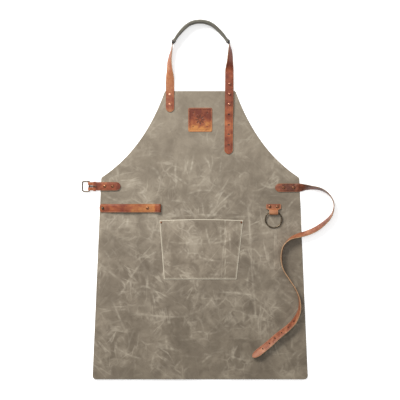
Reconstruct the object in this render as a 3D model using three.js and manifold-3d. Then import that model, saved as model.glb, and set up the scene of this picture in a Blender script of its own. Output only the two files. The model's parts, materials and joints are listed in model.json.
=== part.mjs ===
// Butcher apron, laid flat: a waxed leather panel with a pocket, riveted leather straps, a padded
// neck loop, a buckle, a towel strap closed by a stud, and a ring on a tab.
// Units are millimetres. +Z is up, +Y runs from the hem to the bib, and the origin is on the back
// face of the panel, on its centre line, half-way between hem and top edge.
import * as THREE from 'three';
import { mergeVertices } from 'three/addons/utils/BufferGeometryUtils.js';
import Module from 'manifold-3d';

const wasm = await Module();
wasm.setup();

// ---------------------------------------------------------------- driving dimensions
const GAP = 0.1; // between flat layers that lie on each other
const CLEARANCE = 0.3; // round metal in leather, and between cut pieces

const PANEL = {
  thickness: 1.6, hemY: -425, topY: 425, topHalf: 104, hemHalf: 317.5, hemRadius: 12.5,
  sideX: 292.3, sideY: 165, cornerX: 288, cornerY: 172, armholePull: [166, 253],
};
const FACE = PANEL.thickness + GAP; // where a layer on the panel starts
const STRAP = { width: 25, thickness: 2.8, tip: 12.5 };
const TAB_THICKNESS = 2; // skived leather that is folded round hardware
const FLOOR = 0.3; // the lower edge of a strap that stands on its edge beside the panel
const ON_PANEL = FACE + 0.2; // the same where it stands on the panel

const RIVET = { cap: 4.5, rise: 1.9, shaft: 1.6, back: 4, backThickness: 0.8, hole: 2 };
const POCKET_RIVET = { ...RIVET, cap: 3, rise: 1.5, back: 3 };
const STUD = {
  flange: 4.5, flangeThickness: 0.8, neck: 2.4, neckSpare: 0.3, ball: 3.6, bore: 1.5, thread: 1.7, screw: 1.2,
};
const BACK_RECESS = { radius: 4.3, depth: 1 };
const ROUND_STEPS = 14;
const BELOW = -1; // cutters reach from below the part ...
const ABOVE = 30; // ... to above it
const OVERCUT = 1; // how far a cutter runs past the edge that it trims
const MERGE = 1e-4; // corners this close are one corner

const NECK = {
  leftX: -89, leftTipY: 363, leftRivets: [414, 385],
  rightX: 85.8, rightTipX: 83.5, rightTipY: 239, tabX: 86, tabLowY: 363, tabTopY: 463,
  tabThickness: 2.2, studs: [446, 416, 386], spareHoles: [356, 326, 297, 267], holeRadius: 2.9,
  hingeY: 466, hingeGap: 0.6,
};
const PAD = {
  height: 34, middle: 12.4, end: 7, wall: 1.4, strapInside: 20, coreInset: 26, rivetInset: 8,
  edge: 2, chamfer: 1.6, rivetRoom: 0.2,
};
const PATCH = { side: 71, radius: 5, thickness: 1.6, y: 340 };
const POCKET = {
  topY: 43.7, bottomY: -130.4, leftTop: -119.8, rightTop: 126.6, bottomHalf: 106.8, thickness: 1.6,
  seamX: 74.6, bow: 3, bulge: 8, penBulge: 3, closedFrom: 0.96, sideFlat: 9, seamFlat: 3,
  rivets: [[-115.2, 37], [121.8, 37]],
};
const WAIST = {
  tipX: 220.7, y: 139.8, rivets: [246.3, 275.5], rivetRoom: 0.2, hingeX: 297, hingeGap: 0.6, endTip: 22,
};
const BUCKLE = {
  y: 144, heelX: -326.5, heelZ: 4.65, wire: 1.9, leftX: -347.4, leftZ: 2.1, halfWidth: 14.85,
  corner: 5, foldInner: 2.4, foldOuter: 4.4, flatX: -316, tipX: -235, rivets: [-281, -258],
  slotHalf: 3.2, slotEndX: -315.6,
};
const PRONG = { length: 23.2, lift: 20, eyeInner: 2.2, eyeOuter: 3.3, width: 3.6, thickness: 1.6 };
const KEEPER = { x: -311, length: 8, wall: 1.2 };
const TOWEL = {
  y: 79.6, thickness: 2.2, endX: -297, studX: -287.6, hingeX: -164, rivetX: -155, flatX: -143,
  eyeX: -121, eyeInner: 3.2, arch: 9.6, buttonHole: 4,
};
const RING_TAB = {
  x: 216.2, topY: 91.7, topHalf: 22.2, neckHalf: 13, neckTopY: 74, foldY: 66, axisY: 68,
  axisZ: 7.8, inner: 4.3, slack: 1.6, thickness: 1.8, flatY: 78.5, rivets: [[205.2, 83.5], [227.2, 83.5]],
};
const RING = { radius: 24, wire: 1.95, endZ: 3.75 };

// ---------------------------------------------------------------- materials
const grey = new THREE.MeshStandardMaterial({ color: 0x9a9080, roughness: 0.62, metalness: 0 });
const cognac = new THREE.MeshStandardMaterial({ color: 0xa85a36, roughness: 0.5, metalness: 0 });
const padGrey = new THREE.MeshStandardMaterial({ color: 0x6f6a5f, roughness: 0.7, metalness: 0 });
const foam = new THREE.MeshStandardMaterial({ color: 0xd8cfb8, roughness: 0.95, metalness: 0 });
const bronze = new THREE.MeshStandardMaterial({ color: 0x54493a, roughness: 0.4, metalness: 1 });
const copper = new THREE.MeshStandardMaterial({ color: 0x9c5b3c, roughness: 0.35, metalness: 1 });

// ---------------------------------------------------------------- solids
const apron = new THREE.Group();

function solid(geometry) {
  geometry.deleteAttribute('normal');
  geometry.deleteAttribute('uv');
  const merged = mergeVertices(geometry, MERGE);
  const index = merged.index.array;
  const kept = [];
  for (let i = 0; i < index.length; i += 3) {
    const [a, b, c] = [index[i], index[i + 1], index[i + 2]];
    if (a !== b && b !== c && c !== a) kept.push(a, b, c);
  }
  const vertProperties = new Float32Array(merged.attributes.position.array);
  const triVerts = new Uint32Array(kept);
  return new wasm.Manifold(new wasm.Mesh({ numProp: 3, vertProperties, triVerts }));
}

function place(name, body, material) {
  const mesh = body.getMesh();
  const geometry = new THREE.BufferGeometry();
  const position = new THREE.BufferAttribute(new Float32Array(mesh.vertProperties), 3);
  geometry.setAttribute('position', position);
  geometry.setIndex(new THREE.BufferAttribute(new Uint32Array(mesh.triVerts), 1));
  geometry.computeVertexNormals();
  const piece = new THREE.Mesh(geometry, material);
  piece.name = name;
  apron.add(piece);
}

// A flat shape in X and Y, from z = low to z = high.
function slab(shape, low, high, curveSegments = 10) {
  const depth = high - low;
  const geometry = new THREE.ExtrudeGeometry(shape, { depth, bevelEnabled: false, curveSegments });
  geometry.translate(0, 0, low);
  return solid(geometry);
}

// A shape drawn in X and Z, given its width along Y about y = middle.
function slabAcrossY(shape, middle, width, curveSegments = 8) {
  const options = { depth: width, bevelEnabled: false, curveSegments };
  const geometry = new THREE.ExtrudeGeometry(shape, options);
  geometry.rotateX(Math.PI / 2);
  geometry.translate(0, middle + width / 2, 0);
  return solid(geometry);
}

// A shape drawn in Y and Z, given its width along X about x = middle.
function slabAcrossX(shape, middle, width, curveSegments = 8) {
  const options = { depth: width, bevelEnabled: false, curveSegments };
  const geometry = new THREE.ExtrudeGeometry(shape, options);
  const turn = new THREE.Matrix4().makeBasis(
    new THREE.Vector3(0, 1, 0),
    new THREE.Vector3(0, 0, 1),
    new THREE.Vector3(1, 0, 0),
  );
  geometry.applyMatrix4(turn);
  geometry.translate(middle - width / 2, 0, 0);
  return solid(geometry);
}

function lathe(profile, steps = ROUND_STEPS) {
  const points = profile.map(([r, z]) => new THREE.Vector2(r, z));
  const geometry = new THREE.LatheGeometry(points, steps);
  geometry.rotateX(Math.PI / 2);
  return solid(geometry);
}

function bore(x, y, radius, low, high) {
  const body = lathe([[0, low], [radius, low], [radius, high], [0, high]]);
  return body.translate([x, y, 0]);
}

// Joins rings of points, each turning anticlockwise about the way ahead, into one closed skin.
function loft(rings, closed = false) {
  const count = rings[0].length;
  const positions = rings.flat().flatMap((p) => [p.x, p.y, p.z]);
  const index = [];
  const last = closed ? rings.length : rings.length - 1;
  for (let i = 0; i < last; i++) {
    const here = i * count;
    const next = ((i + 1) % rings.length) * count;
    for (let k = 0; k < count; k++) {
      const m = (k + 1) % count;
      index.push(here + k, here + m, next + m, here + k, next + m, next + k);
    }
  }
  const end = (rings.length - 1) * count;
  for (let k = 1; k < count - 1 && !closed; k++) {
    index.push(0, k + 1, k);
    index.push(end, end + k, end + k + 1);
  }
  const geometry = new THREE.BufferGeometry();
  geometry.setAttribute('position', new THREE.Float32BufferAttribute(positions, 3));
  geometry.setIndex(index);
  return solid(geometry);
}

// ---------------------------------------------------------------- straps
// A strap's route is a list of [x, y, height of its lower edge, roll in degrees]. At roll 0 it lies
// flat, grain side up. At 90 it stands on its edge with its grain side to the right of the route.
function strapFrames(route, { width, thickness, startTip = 0, endTip = 0, steps }) {
  const path = new THREE.CatmullRomCurve3(route.map(([x, y]) => new THREE.Vector3(x, y, 0)));
  const turns = new THREE.CatmullRomCurve3(route.map(([, , low, roll]) => new THREE.Vector3(roll, low, 0)));
  path.arcLengthDivisions = 800;
  const length = path.getLength();
  const tipPlaces = [0.02, 0.15, 0.4, 0.7];
  const places = [];
  for (let i = 0; i <= steps; i++) {
    places.push(startTip + ((length - startTip - endTip) * i) / steps);
  }
  if (startTip) places.unshift(...tipPlaces.map((p) => p * startTip));
  if (endTip) places.push(...[...tipPlaces].reverse().map((p) => length - p * endTip));
  return places.map((place) => {
    const t = path.getUtoTmapping(Math.min(1, Math.max(0, place / length)));
    const centre = path.getPoint(t);
    const ahead = path.getTangent(t);
    const { x: roll, y: low } = turns.getPoint(t);
    const angle = THREE.MathUtils.degToRad(roll);
    const left = new THREE.Vector3(-ahead.y, ahead.x, 0);
    const up = new THREE.Vector3(0, 0, 1);
    const across = left.clone().multiplyScalar(Math.cos(angle)).addScaledVector(up, Math.sin(angle));
    const out = up.clone().multiplyScalar(Math.cos(angle)).addScaledVector(left, -Math.sin(angle));
    const rise = (width / 2) * Math.abs(Math.sin(angle)) + (thickness / 2) * Math.abs(Math.cos(angle));
    centre.z = low + rise;
    const fromTip = Math.min(
      startTip ? place / startTip : 1,
      endTip ? (length - place) / endTip : 1,
      1,
    );
    const half = (width / 2) * Math.sqrt(1 - (1 - Math.max(fromTip, 0.02)) ** 2);
    return { centre, across, out, half, thickness };
  });
}

function strap(route, options) {
  const rings = strapFrames(route, options).map(({ centre, across, out, half, thickness }) =>
    [[-1, -1], [1, -1], [1, 1], [-1, 1]].map(([a, b]) =>
      centre.clone().addScaledVector(across, a * half).addScaledVector(out, (b * thickness) / 2),
    ),
  );
  return loft(rings);
}

// ---------------------------------------------------------------- fasteners
// Both run along Z at x = y = 0. The leather between the two heads lies from low to high.
function rivetParts(low, high, size = RIVET) {
  const seat = high + GAP;
  const boreRadius = size.shaft + CLEARANCE;
  const boreEnd = seat + size.rise * 0.6;
  const cap = lathe([
    [0, boreEnd], [boreRadius, boreEnd], [boreRadius, seat], [size.cap, seat],
    [size.cap, seat + size.rise * 0.3], [size.cap * 0.72, seat + size.rise * 0.8],
    [size.cap * 0.35, seat + size.rise * 0.97], [0, seat + size.rise],
  ]);
  const backLow = low - size.backThickness;
  const post = lathe([
    [0, backLow], [size.back, backLow], [size.back, low - GAP], [size.shaft, low - GAP],
    [size.shaft, boreEnd - CLEARANCE], [0, boreEnd - CLEARANCE],
  ]);
  return { cap, post };
}

function studParts(low, seat, holdsFrom) {
  const boreEnd = seat + STUD.flangeThickness + STUD.thread;
  const neckTop = holdsFrom + STUD.neckSpare;
  const ballZ = neckTop + STUD.ball * 0.7;
  const ball = [-45, -15, 15, 40, 65].map((a) => {
    const angle = THREE.MathUtils.degToRad(a);
    return [STUD.ball * Math.cos(angle), ballZ + STUD.ball * Math.sin(angle)];
  });
  const stud = lathe([
    [0, boreEnd], [STUD.bore, boreEnd], [STUD.bore, seat], [STUD.flange, seat],
    [STUD.flange, seat + STUD.flangeThickness], [STUD.neck, seat + STUD.flangeThickness],
    [STUD.neck, neckTop], ...ball, [0, ballZ + STUD.ball],
  ]);
  const screw = lathe([
    [0, low - RIVET.backThickness], [RIVET.back, low - RIVET.backThickness],
    [RIVET.back, low - GAP], [STUD.screw, low - GAP],
    [STUD.screw, boreEnd - CLEARANCE], [0, boreEnd - CLEARANCE],
  ]);
  return { stud, screw };
}

// The panel's back is pressed in round each fastener, so its head lies below the back face.
const recessTop = BACK_RECESS.depth;
const panelHoles = [];

function rivetThroughPanel(name, x, y, high, size = RIVET) {
  const { cap, post } = rivetParts(recessTop, high, size);
  place(`${name}_cap`, cap.translate([x, y, 0]), copper);
  place(`${name}_post`, post.translate([x, y, 0]), copper);
  panelHoles.push(bore(x, y, BACK_RECESS.radius, BELOW, recessTop));
  panelHoles.push(bore(x, y, RIVET.hole, BELOW, PANEL.thickness + OVERCUT));
}

function studThroughPanel(name, x, y, seat, holdsFrom) {
  const { stud, screw } = studParts(recessTop, seat, holdsFrom);
  place(`${name}`, stud.translate([x, y, 0]), bronze);
  place(`${name}_screw`, screw.translate([x, y, 0]), bronze);
  panelHoles.push(bore(x, y, BACK_RECESS.radius, BELOW, recessTop));
  panelHoles.push(bore(x, y, STUD.bore, BELOW, PANEL.thickness + OVERCUT));
}

function drill(body, places, radius) {
  return places.reduce((left, [x, y]) => left.subtract(bore(x, y, radius, BELOW, ABOVE)), body);
}

// ---------------------------------------------------------------- panel
function panelOutline() {
  const { hemY, topY, topHalf, hemHalf, hemRadius, sideX, sideY, cornerX, cornerY } = PANEL;
  const [pullX, pullY] = PANEL.armholePull;
  const shape = new THREE.Shape();
  shape.moveTo(-hemHalf + hemRadius, hemY);
  shape.lineTo(hemHalf - hemRadius, hemY);
  shape.quadraticCurveTo(hemHalf, hemY, hemHalf - 0.5, hemY + hemRadius);
  shape.lineTo(sideX, sideY);
  shape.quadraticCurveTo(sideX - 0.4, cornerY - 2, cornerX, cornerY);
  shape.quadraticCurveTo(pullX, pullY, topHalf + 1.5, topY - 4);
  shape.quadraticCurveTo(topHalf, topY, topHalf - 3, topY);
  shape.lineTo(-topHalf + 3, topY);
  shape.quadraticCurveTo(-topHalf, topY, -topHalf - 1.5, topY - 4);
  shape.quadraticCurveTo(-pullX, pullY, -cornerX, cornerY);
  shape.quadraticCurveTo(-sideX + 0.4, cornerY - 2, -sideX, sideY);
  shape.lineTo(-hemHalf + 0.5, hemY + hemRadius);
  shape.quadraticCurveTo(-hemHalf, hemY, -hemHalf + hemRadius, hemY);
  return shape;
}

function makePanel() {
  const sheet = slab(panelOutline(), 0, PANEL.thickness, 12);
  place('panel', panelHoles.reduce((left, hole) => left.subtract(hole), sheet), grey);
}

// ---------------------------------------------------------------- patch and pocket
function roundedRectangle(x, y, width, height, radius) {
  const [w, h] = [width / 2, height / 2];
  const shape = new THREE.Shape();
  shape.moveTo(x - w + radius, y - h);
  shape.lineTo(x + w - radius, y - h);
  shape.absarc(x + w - radius, y - h + radius, radius, -Math.PI / 2, 0);
  shape.lineTo(x + w, y + h - radius);
  shape.absarc(x + w - radius, y + h - radius, radius, 0, Math.PI / 2);
  shape.lineTo(x - w + radius, y + h);
  shape.absarc(x - w + radius, y + h - radius, radius, Math.PI / 2, Math.PI);
  shape.lineTo(x - w, y - h + radius);
  shape.absarc(x - w + radius, y - h + radius, radius, Math.PI, 1.5 * Math.PI);
  return shape;
}

function makePatch() {
  const shape = roundedRectangle(0, PATCH.y, PATCH.side, PATCH.side, PATCH.radius);
  place('patch', slab(shape, FACE, FACE + PATCH.thickness, 5), cognac);
}

// How far the pocket stands off the panel: each compartment bows out between its seams and
// closes towards the bottom seam.
function pocketBulge(x, down) {
  const { leftTop, rightTop, seamX, sideFlat, seamFlat, bulge, penBulge, closedFrom } = POCKET;
  const main = x < seamX;
  const [a, b] = main ? [leftTop + sideFlat, seamX - seamFlat] : [seamX + seamFlat, rightTop - sideFlat];
  const across = (x - a) / (b - a);
  if (across <= 0 || across >= 1 || down >= closedFrom) return 0;
  const most = main ? bulge : penBulge;
  const fromTop = Math.cos((Math.PI / 2) * (down / closedFrom)) ** 1.2;
  return most * Math.sin(Math.PI * across) ** 0.8 * fromTop;
}

function makePocket() {
  const [columns, rows] = [30, 9];
  const grid = [];
  for (let j = 0; j <= rows; j++) {
    const down = j / rows;
    for (let i = 0; i <= columns; i++) {
      const across = i / columns;
      const topX = THREE.MathUtils.lerp(POCKET.leftTop, POCKET.rightTop, across);
      const bottomX = THREE.MathUtils.lerp(-POCKET.bottomHalf, POCKET.bottomHalf, across);
      const bow = POCKET.bow * Math.sin(Math.PI * across) * (1 - down);
      const y = THREE.MathUtils.lerp(POCKET.topY, POCKET.bottomY, down) + bow;
      grid.push([THREE.MathUtils.lerp(topX, bottomX, down), y, pocketBulge(topX, down)]);
    }
  }
  const row = columns + 1;
  const rings = [];
  for (let i = 0; i <= columns; i++) {
    const under = [];
    const over = [];
    for (let j = 0; j <= rows; j++) {
      const [x, y, lift] = grid[j * row + i];
      under.push(new THREE.Vector3(x, y, FACE + lift));
      over.push(new THREE.Vector3(x, y, FACE + lift + POCKET.thickness));
    }
    rings.push([...over, ...under.reverse()]);
  }
  place('pocket', drill(stripLoft(rings), POCKET.rivets, RIVET.hole), grey);
  POCKET.rivets.forEach(([x, y], i) => {
    const side = i ? 'right' : 'left';
    rivetThroughPanel(`pocket_rivet_${side}`, x, y, FACE + POCKET.thickness, POCKET_RIVET);
  });
}

// A loft whose end rings are two rows of points, so the ends are closed row to row.
function stripLoft(rings) {
  const count = rings[0].length;
  const positions = rings.flat().flatMap((p) => [p.x, p.y, p.z]);
  const index = [];
  for (let i = 0; i < rings.length - 1; i++) {
    for (let k = 0; k < count; k++) {
      const m = (k + 1) % count;
      const [here, next] = [i * count, (i + 1) * count];
      index.push(here + k, here + m, next + m, here + k, next + m, next + k);
    }
  }
  const end = (rings.length - 1) * count;
  for (let k = 0; k < count / 2 - 1; k++) {
    const [a, b, c, d] = [k, k + 1, count - 2 - k, count - 1 - k];
    index.push(a, d, c, a, c, b);
    index.push(end + a, end + b, end + c, end + a, end + c, end + d);
  }
  const geometry = new THREE.BufferGeometry();
  geometry.setAttribute('position', new THREE.Float32BufferAttribute(positions, 3));
  geometry.setIndex(index);
  return solid(geometry);
}

// ---------------------------------------------------------------- neck straps
const padCurve = new THREE.CatmullRomCurve3([
  new THREE.Vector3(-81.5, 563.5, 0), new THREE.Vector3(-60, 595, 0), new THREE.Vector3(-32, 620.5, 0),
  new THREE.Vector3(-1, 628, 0), new THREE.Vector3(30.5, 621, 0), new THREE.Vector3(60.5, 596, 0),
  new THREE.Vector3(85.5, 563.5, 0),
]);
const padLength = padCurve.getLength();
const padZ = FLOOR + PAD.height / 2;
const strapLowInPad = padZ - STRAP.width / 2;
const STRAP_IN_PAD = [0, 7, 14, PAD.strapInside]; // places of a strap's route inside the pad

function padPlace(distance) {
  const point = padCurve.getPointAt(distance / padLength);
  const ahead = padCurve.getTangentAt(distance / padLength);
  return { point, ahead, outward: new THREE.Vector3(-ahead.y, ahead.x, 0) };
}

function makeNeckLeft() {
  const x = NECK.leftX;
  const endY = NECK.hingeY - NECK.hingeGap / 2;
  const anchor = strap(
    [[x, NECK.leftTipY, FACE, 0], [x, 400, FACE, 0], [x, endY, FACE, 0]],
    { ...STRAP, startTip: STRAP.tip, steps: 2 },
  );
  place('neck_left_anchor', drill(anchor, NECK.leftRivets.map((y) => [x, y]), RIVET.hole), cognac);
  NECK.leftRivets.forEach((y, i) => {
    rivetThroughPanel(`neck_left_rivet_${i + 1}`, x, y, FACE + STRAP.thickness);
  });
  const inPad = STRAP_IN_PAD.map((distance) => {
    const { point } = padPlace(distance);
    return [point.x, point.y, strapLowInPad, -90];
  });
  const route = [
    [x, NECK.hingeY + NECK.hingeGap / 2, FACE, 0], [-89.4, 478, 1.5, -26],
    [-89.9, 490, 1, -46], [-90.4, 508, 0.5, -58],
    [-88.2, 527, 0.5, -71], [-84, 546, 2.6, -83], ...inPad,
  ];
  const free = strap(route, { ...STRAP, steps: 22 });
  place('neck_left_strap', free.subtract(padRivetHole(PAD.rivetInset)), cognac);
}

function tailX(y) {
  const share = (y - NECK.rightTipY) / (NECK.hingeY - NECK.rightTipY);
  return THREE.MathUtils.lerp(NECK.rightTipX, NECK.rightX, share);
}

function makeNeckRight() {
  const tabTop = FACE + NECK.tabThickness;
  const strapLow = tabTop + GAP + STUD.flangeThickness + GAP;
  const tab = strap(
    [[NECK.tabX, NECK.tabLowY, FACE, 0], [NECK.tabX, NECK.tabTopY, FACE, 0]],
    { ...STRAP, thickness: NECK.tabThickness, startTip: STRAP.tip, endTip: STRAP.tip, steps: 1 },
  );
  place('neck_anchor_tab', drill(tab, NECK.studs.map((y) => [tailX(y), y]), STUD.bore), cognac);
  const heights = [[NECK.rightTipY, FACE], [300, FACE], [332, FACE], [348, FACE + 1.5],
    [366, strapLow], [400, strapLow], [446, strapLow], [NECK.hingeY - NECK.hingeGap / 2, strapLow]];
  const tail = strap(
    heights.map(([y, low]) => [tailX(y), y, low, 0]),
    { ...STRAP, startTip: STRAP.tip, steps: 16 },
  );
  const holes = [...NECK.studs, ...NECK.spareHoles].map((y) => [tailX(y), y]);
  place('neck_right_tail', drill(tail, holes, NECK.holeRadius), cognac);
  const holdsFrom = strapLow + STRAP.thickness;
  NECK.studs.forEach((y, i) => {
    if (y < PANEL.topY) {
      studThroughPanel(`neck_stud_${i + 1}`, tailX(y), y, tabTop + GAP, holdsFrom);
      return;
    }
    const { stud, screw } = studParts(FACE, tabTop + GAP, holdsFrom);
    place(`neck_stud_${i + 1}`, stud.translate([tailX(y), y, 0]), bronze);
    place(`neck_stud_${i + 1}_screw`, screw.translate([tailX(y), y, 0]), bronze);
  });
  const inPad = STRAP_IN_PAD.map((distance) => {
    const { point } = padPlace(padLength - distance);
    return [point.x, point.y, strapLowInPad, 90];
  });
  const route = [
    [NECK.rightX, NECK.hingeY + NECK.hingeGap / 2, strapLow, 0], [85.8, 482, 3, 6],
    [86.6, 497, 1, 28], [87.5, 512, 0.5, 46], [88, 531, 0.5, 57], [87.4, 549, 2.6, 72], ...inPad,
  ];
  const free = strap(route, { ...STRAP, steps: 22 });
  place('neck_right_strap', free.subtract(padRivetHole(padLength - PAD.rivetInset)), cognac);
}

// ---------------------------------------------------------------- neck pad
function padHalfThickness(distance) {
  const swell = Math.sin((Math.PI * distance) / padLength) ** 0.7;
  return THREE.MathUtils.lerp(PAD.end, PAD.middle, swell) / 2;
}

function padSection(distance, inset) {
  const { point, outward } = padPlace(distance);
  const halfThick = padHalfThickness(distance) - inset;
  const halfHigh = PAD.height / 2 - inset;
  const chamfer = Math.min(PAD.chamfer, halfThick * 0.45);
  const edge = halfHigh - PAD.edge;
  const outline = [
    [-halfThick, -edge], [-halfThick + chamfer, -halfHigh], [halfThick - chamfer, -halfHigh],
    [halfThick, -edge], [halfThick, edge], [halfThick - chamfer, halfHigh],
    [-halfThick + chamfer, halfHigh], [-halfThick, edge],
  ];
  return outline.map(([out, up]) => {
    const corner = point.clone().addScaledVector(outward, out);
    corner.z = padZ + up;
    return corner;
  });
}

function padLoft(from, to, inset, steps) {
  const rings = [];
  for (let i = 0; i <= steps; i++) {
    const distance = from + ((to - from) * i) / steps;
    rings.push(padSection(Math.min(padLength, Math.max(0, distance)), inset));
  }
  return loft(rings);
}

// The pad sleeve's hollow runs out of both ends, so its end rings are pushed a little further.
function padHollow(steps) {
  const rings = [];
  const past = 2;
  for (let i = 0; i <= steps; i++) {
    const ring = padSection((padLength * i) / steps, PAD.wall);
    const { ahead } = padPlace((padLength * i) / steps);
    const push = i === 0 ? -past : i === steps ? past : 0;
    rings.push(ring.map((corner) => corner.addScaledVector(ahead, push)));
  }
  return loft(rings);
}

function alongOutward(body, distance) {
  const { point, ahead, outward } = padPlace(distance);
  const up = new THREE.Vector3(0, 0, 1);
  const turn = new THREE.Matrix4().makeBasis(up, ahead.clone().negate(), outward);
  turn.setPosition(point.x, point.y, padZ);
  return body.transform([...turn.elements]);
}

function padRivetHole(distance) {
  const reach = 12;
  const body = lathe([[0, -reach], [RIVET.hole, -reach], [RIVET.hole, reach], [0, reach]]);
  return alongOutward(body, distance);
}

function makePad() {
  const steps = 24;
  const cover = padLoft(0, padLength, 0, steps).subtract(padHollow(steps));
  const [start, end] = [PAD.rivetInset, padLength - PAD.rivetInset];
  place('neck_pad_cover', cover.subtract(padRivetHole(start)).subtract(padRivetHole(end)), padGrey);
  const core = padLoft(PAD.coreInset, padLength - PAD.coreInset, PAD.wall + CLEARANCE, steps - 4);
  place('neck_pad_core', core, foam);
  [['left', start], ['right', end]].forEach(([side, distance]) => {
    const half = padHalfThickness(distance);
    const { cap, post } = rivetParts(-half - PAD.rivetRoom, half + PAD.rivetRoom);
    place(`pad_rivet_${side}_cap`, alongOutward(cap, distance), bronze);
    place(`pad_rivet_${side}_post`, alongOutward(post, distance), bronze);
  });
}

// ---------------------------------------------------------------- waist strap
const waistRoute = [
  [WAIST.hingeX + WAIST.hingeGap / 2, 140.3, FACE, 24], [309, 141, 0.9, 49], [329, 139.8, 0.4, 69],
  [352.8, 136, 0.4, 77], [372.6, 125.7, 0.4, 86], [387, 109.7, 0.4, 92], [393.6, 90, 0.4, 95],
  [389.5, 66, 0.4, 88], [376.7, 46.5, 0.4, 73], [344.9, 20.4, 0.9, 60], [318, 7.5, ON_PANEL, 58],
  [289.7, -0.9, ON_PANEL, 64], [272, -6.8, ON_PANEL, 75], [256.9, -16.8, ON_PANEL, 88],
  [244.6, -33.9, ON_PANEL, 98], [239, -64, ON_PANEL, 99], [243.5, -98, ON_PANEL, 92],
  [261.7, -129.2, ON_PANEL, 90], [280, -157.5, ON_PANEL, 89], [292, -190, ON_PANEL, 86],
  [291.5, -222, ON_PANEL, 76], [276.4, -254, ON_PANEL, 60], [254.3, -276.1, ON_PANEL, 52],
  [227.4, -298, ON_PANEL, 46], [203, -320.1, ON_PANEL, 42], [154, -359.3, ON_PANEL, 36],
];

function makeWaist() {
  const endX = WAIST.hingeX - WAIST.hingeGap / 2;
  const anchor = strap(
    [[WAIST.tipX, WAIST.y, FACE, 0], [250, WAIST.y, FACE, 0], [280, WAIST.y, FACE, 0],
      [287, 140, FACE, 5], [endX, 140.3, FACE, 24]],
    { ...STRAP, startTip: STRAP.tip, steps: 12 },
  );
  place('waist_anchor', drill(anchor, WAIST.rivets.map((x) => [x, WAIST.y]), RIVET.hole), cognac);
  WAIST.rivets.forEach((x, i) => {
    rivetThroughPanel(`waist_rivet_${i + 1}`, x, WAIST.y, FACE + STRAP.thickness + WAIST.rivetRoom);
  });
  const free = strap(waistRoute, { ...STRAP, endTip: WAIST.endTip, steps: 96 });
  place('waist_strap', free, cognac);
}

// ---------------------------------------------------------------- buckle
function buckleTabProfile() {
  const { heelX, heelZ, foldInner, foldOuter, flatX, tipX } = BUCKLE;
  const low = FACE;
  const lowTop = low + TAB_THICKNESS;
  const high = lowTop + CLEARANCE;
  const highTop = high + TAB_THICKNESS;
  const shape = new THREE.Shape();
  shape.moveTo(tipX, low);
  shape.lineTo(flatX, low);
  shape.bezierCurveTo(flatX - 4, low, heelX + 4, heelZ - foldOuter, heelX, heelZ - foldOuter);
  shape.absarc(heelX, heelZ, foldOuter, -Math.PI / 2, Math.PI / 2, true);
  shape.bezierCurveTo(heelX + 4, heelZ + foldOuter, flatX - 4.5, highTop, flatX, highTop);
  shape.lineTo(tipX, highTop);
  shape.lineTo(tipX, high);
  shape.lineTo(flatX, high);
  shape.bezierCurveTo(flatX - 4.5, high, heelX + 4, heelZ + foldInner, heelX, heelZ + foldInner);
  shape.absarc(heelX, heelZ, foldInner, Math.PI / 2, 1.5 * Math.PI, false);
  shape.bezierCurveTo(heelX + 4, heelZ - foldInner, flatX - 4, lowTop, flatX, lowTop);
  shape.lineTo(tipX, lowTop);
  return shape;
}

function tabPlan(tipX, farX, y) {
  const half = STRAP.width / 2;
  const shape = new THREE.Shape();
  shape.moveTo(farX, y - half);
  shape.lineTo(tipX - half, y - half);
  shape.absarc(tipX - half, y, half, -Math.PI / 2, Math.PI / 2);
  shape.lineTo(farX, y + half);
  return shape;
}

function makeBuckleTab() {
  const { heelX, foldOuter, tipX, y, slotHalf, slotEndX, rivets } = BUCKLE;
  const left = heelX - foldOuter - OVERCUT;
  const folded = slabAcrossY(buckleTabProfile(), y, STRAP.width);
  const trimmed = folded.intersect(slab(tabPlan(tipX, left, y), BELOW, ABOVE));
  const slotMiddle = (left + slotEndX) / 2;
  const slot = slab(roundedRectangle(slotMiddle, y, slotEndX - left, 2 * slotHalf, 0.5), BELOW, ABOVE, 1);
  const body = drill(trimmed.subtract(slot), rivets.map((x) => [x, y]), RIVET.hole);
  place('buckle_tab', body, cognac);
  const top = FACE + 2 * TAB_THICKNESS + CLEARANCE;
  rivets.forEach((x, i) => rivetThroughPanel(`buckle_rivet_${i + 1}`, x, y, top));
}

function makeBuckleFrame() {
  const { heelX, heelZ, leftX, leftZ, wire, halfWidth, corner, y } = BUCKLE;
  const reach = Math.hypot(heelX - leftX, heelZ - leftZ);
  const tilt = Math.atan2(heelZ - leftZ, heelX - leftX);
  const centres = [[-reach + corner, -halfWidth + corner, 180], [-corner / 2, -halfWidth + corner / 2, 270],
    [-corner / 2, halfWidth - corner / 2, 0], [-reach + corner, halfWidth - corner, 90]];
  const rings = [];
  for (const [cx, cy, from] of centres) {
    const radius = cx === -corner / 2 ? corner / 2 : corner;
    for (let i = 0; i <= 4; i++) {
      const a = THREE.MathUtils.degToRad(from + (90 * i) / 4);
      const centre = new THREE.Vector3(cx + radius * Math.cos(a), cy + radius * Math.sin(a), 0);
      const outward = new THREE.Vector3(Math.cos(a), Math.sin(a), 0);
      rings.push(wireRing(centre, outward, wire));
    }
  }
  const body = loft(rings, true).rotate([0, -THREE.MathUtils.radToDeg(tilt), 0]);
  place('buckle_frame', body.translate([heelX, y, heelZ]), bronze);
}

// An eight-sided section of a wire that runs anticlockwise in plan.
function wireRing(centre, outward, radius) {
  const up = new THREE.Vector3(0, 0, 1);
  return Array.from({ length: 8 }, (_, k) => {
    const a = (2 * Math.PI * (k + 0.5)) / 8;
    return centre.clone()
      .addScaledVector(outward, -radius * Math.cos(a))
      .addScaledVector(up, radius * Math.sin(a));
  });
}

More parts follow.
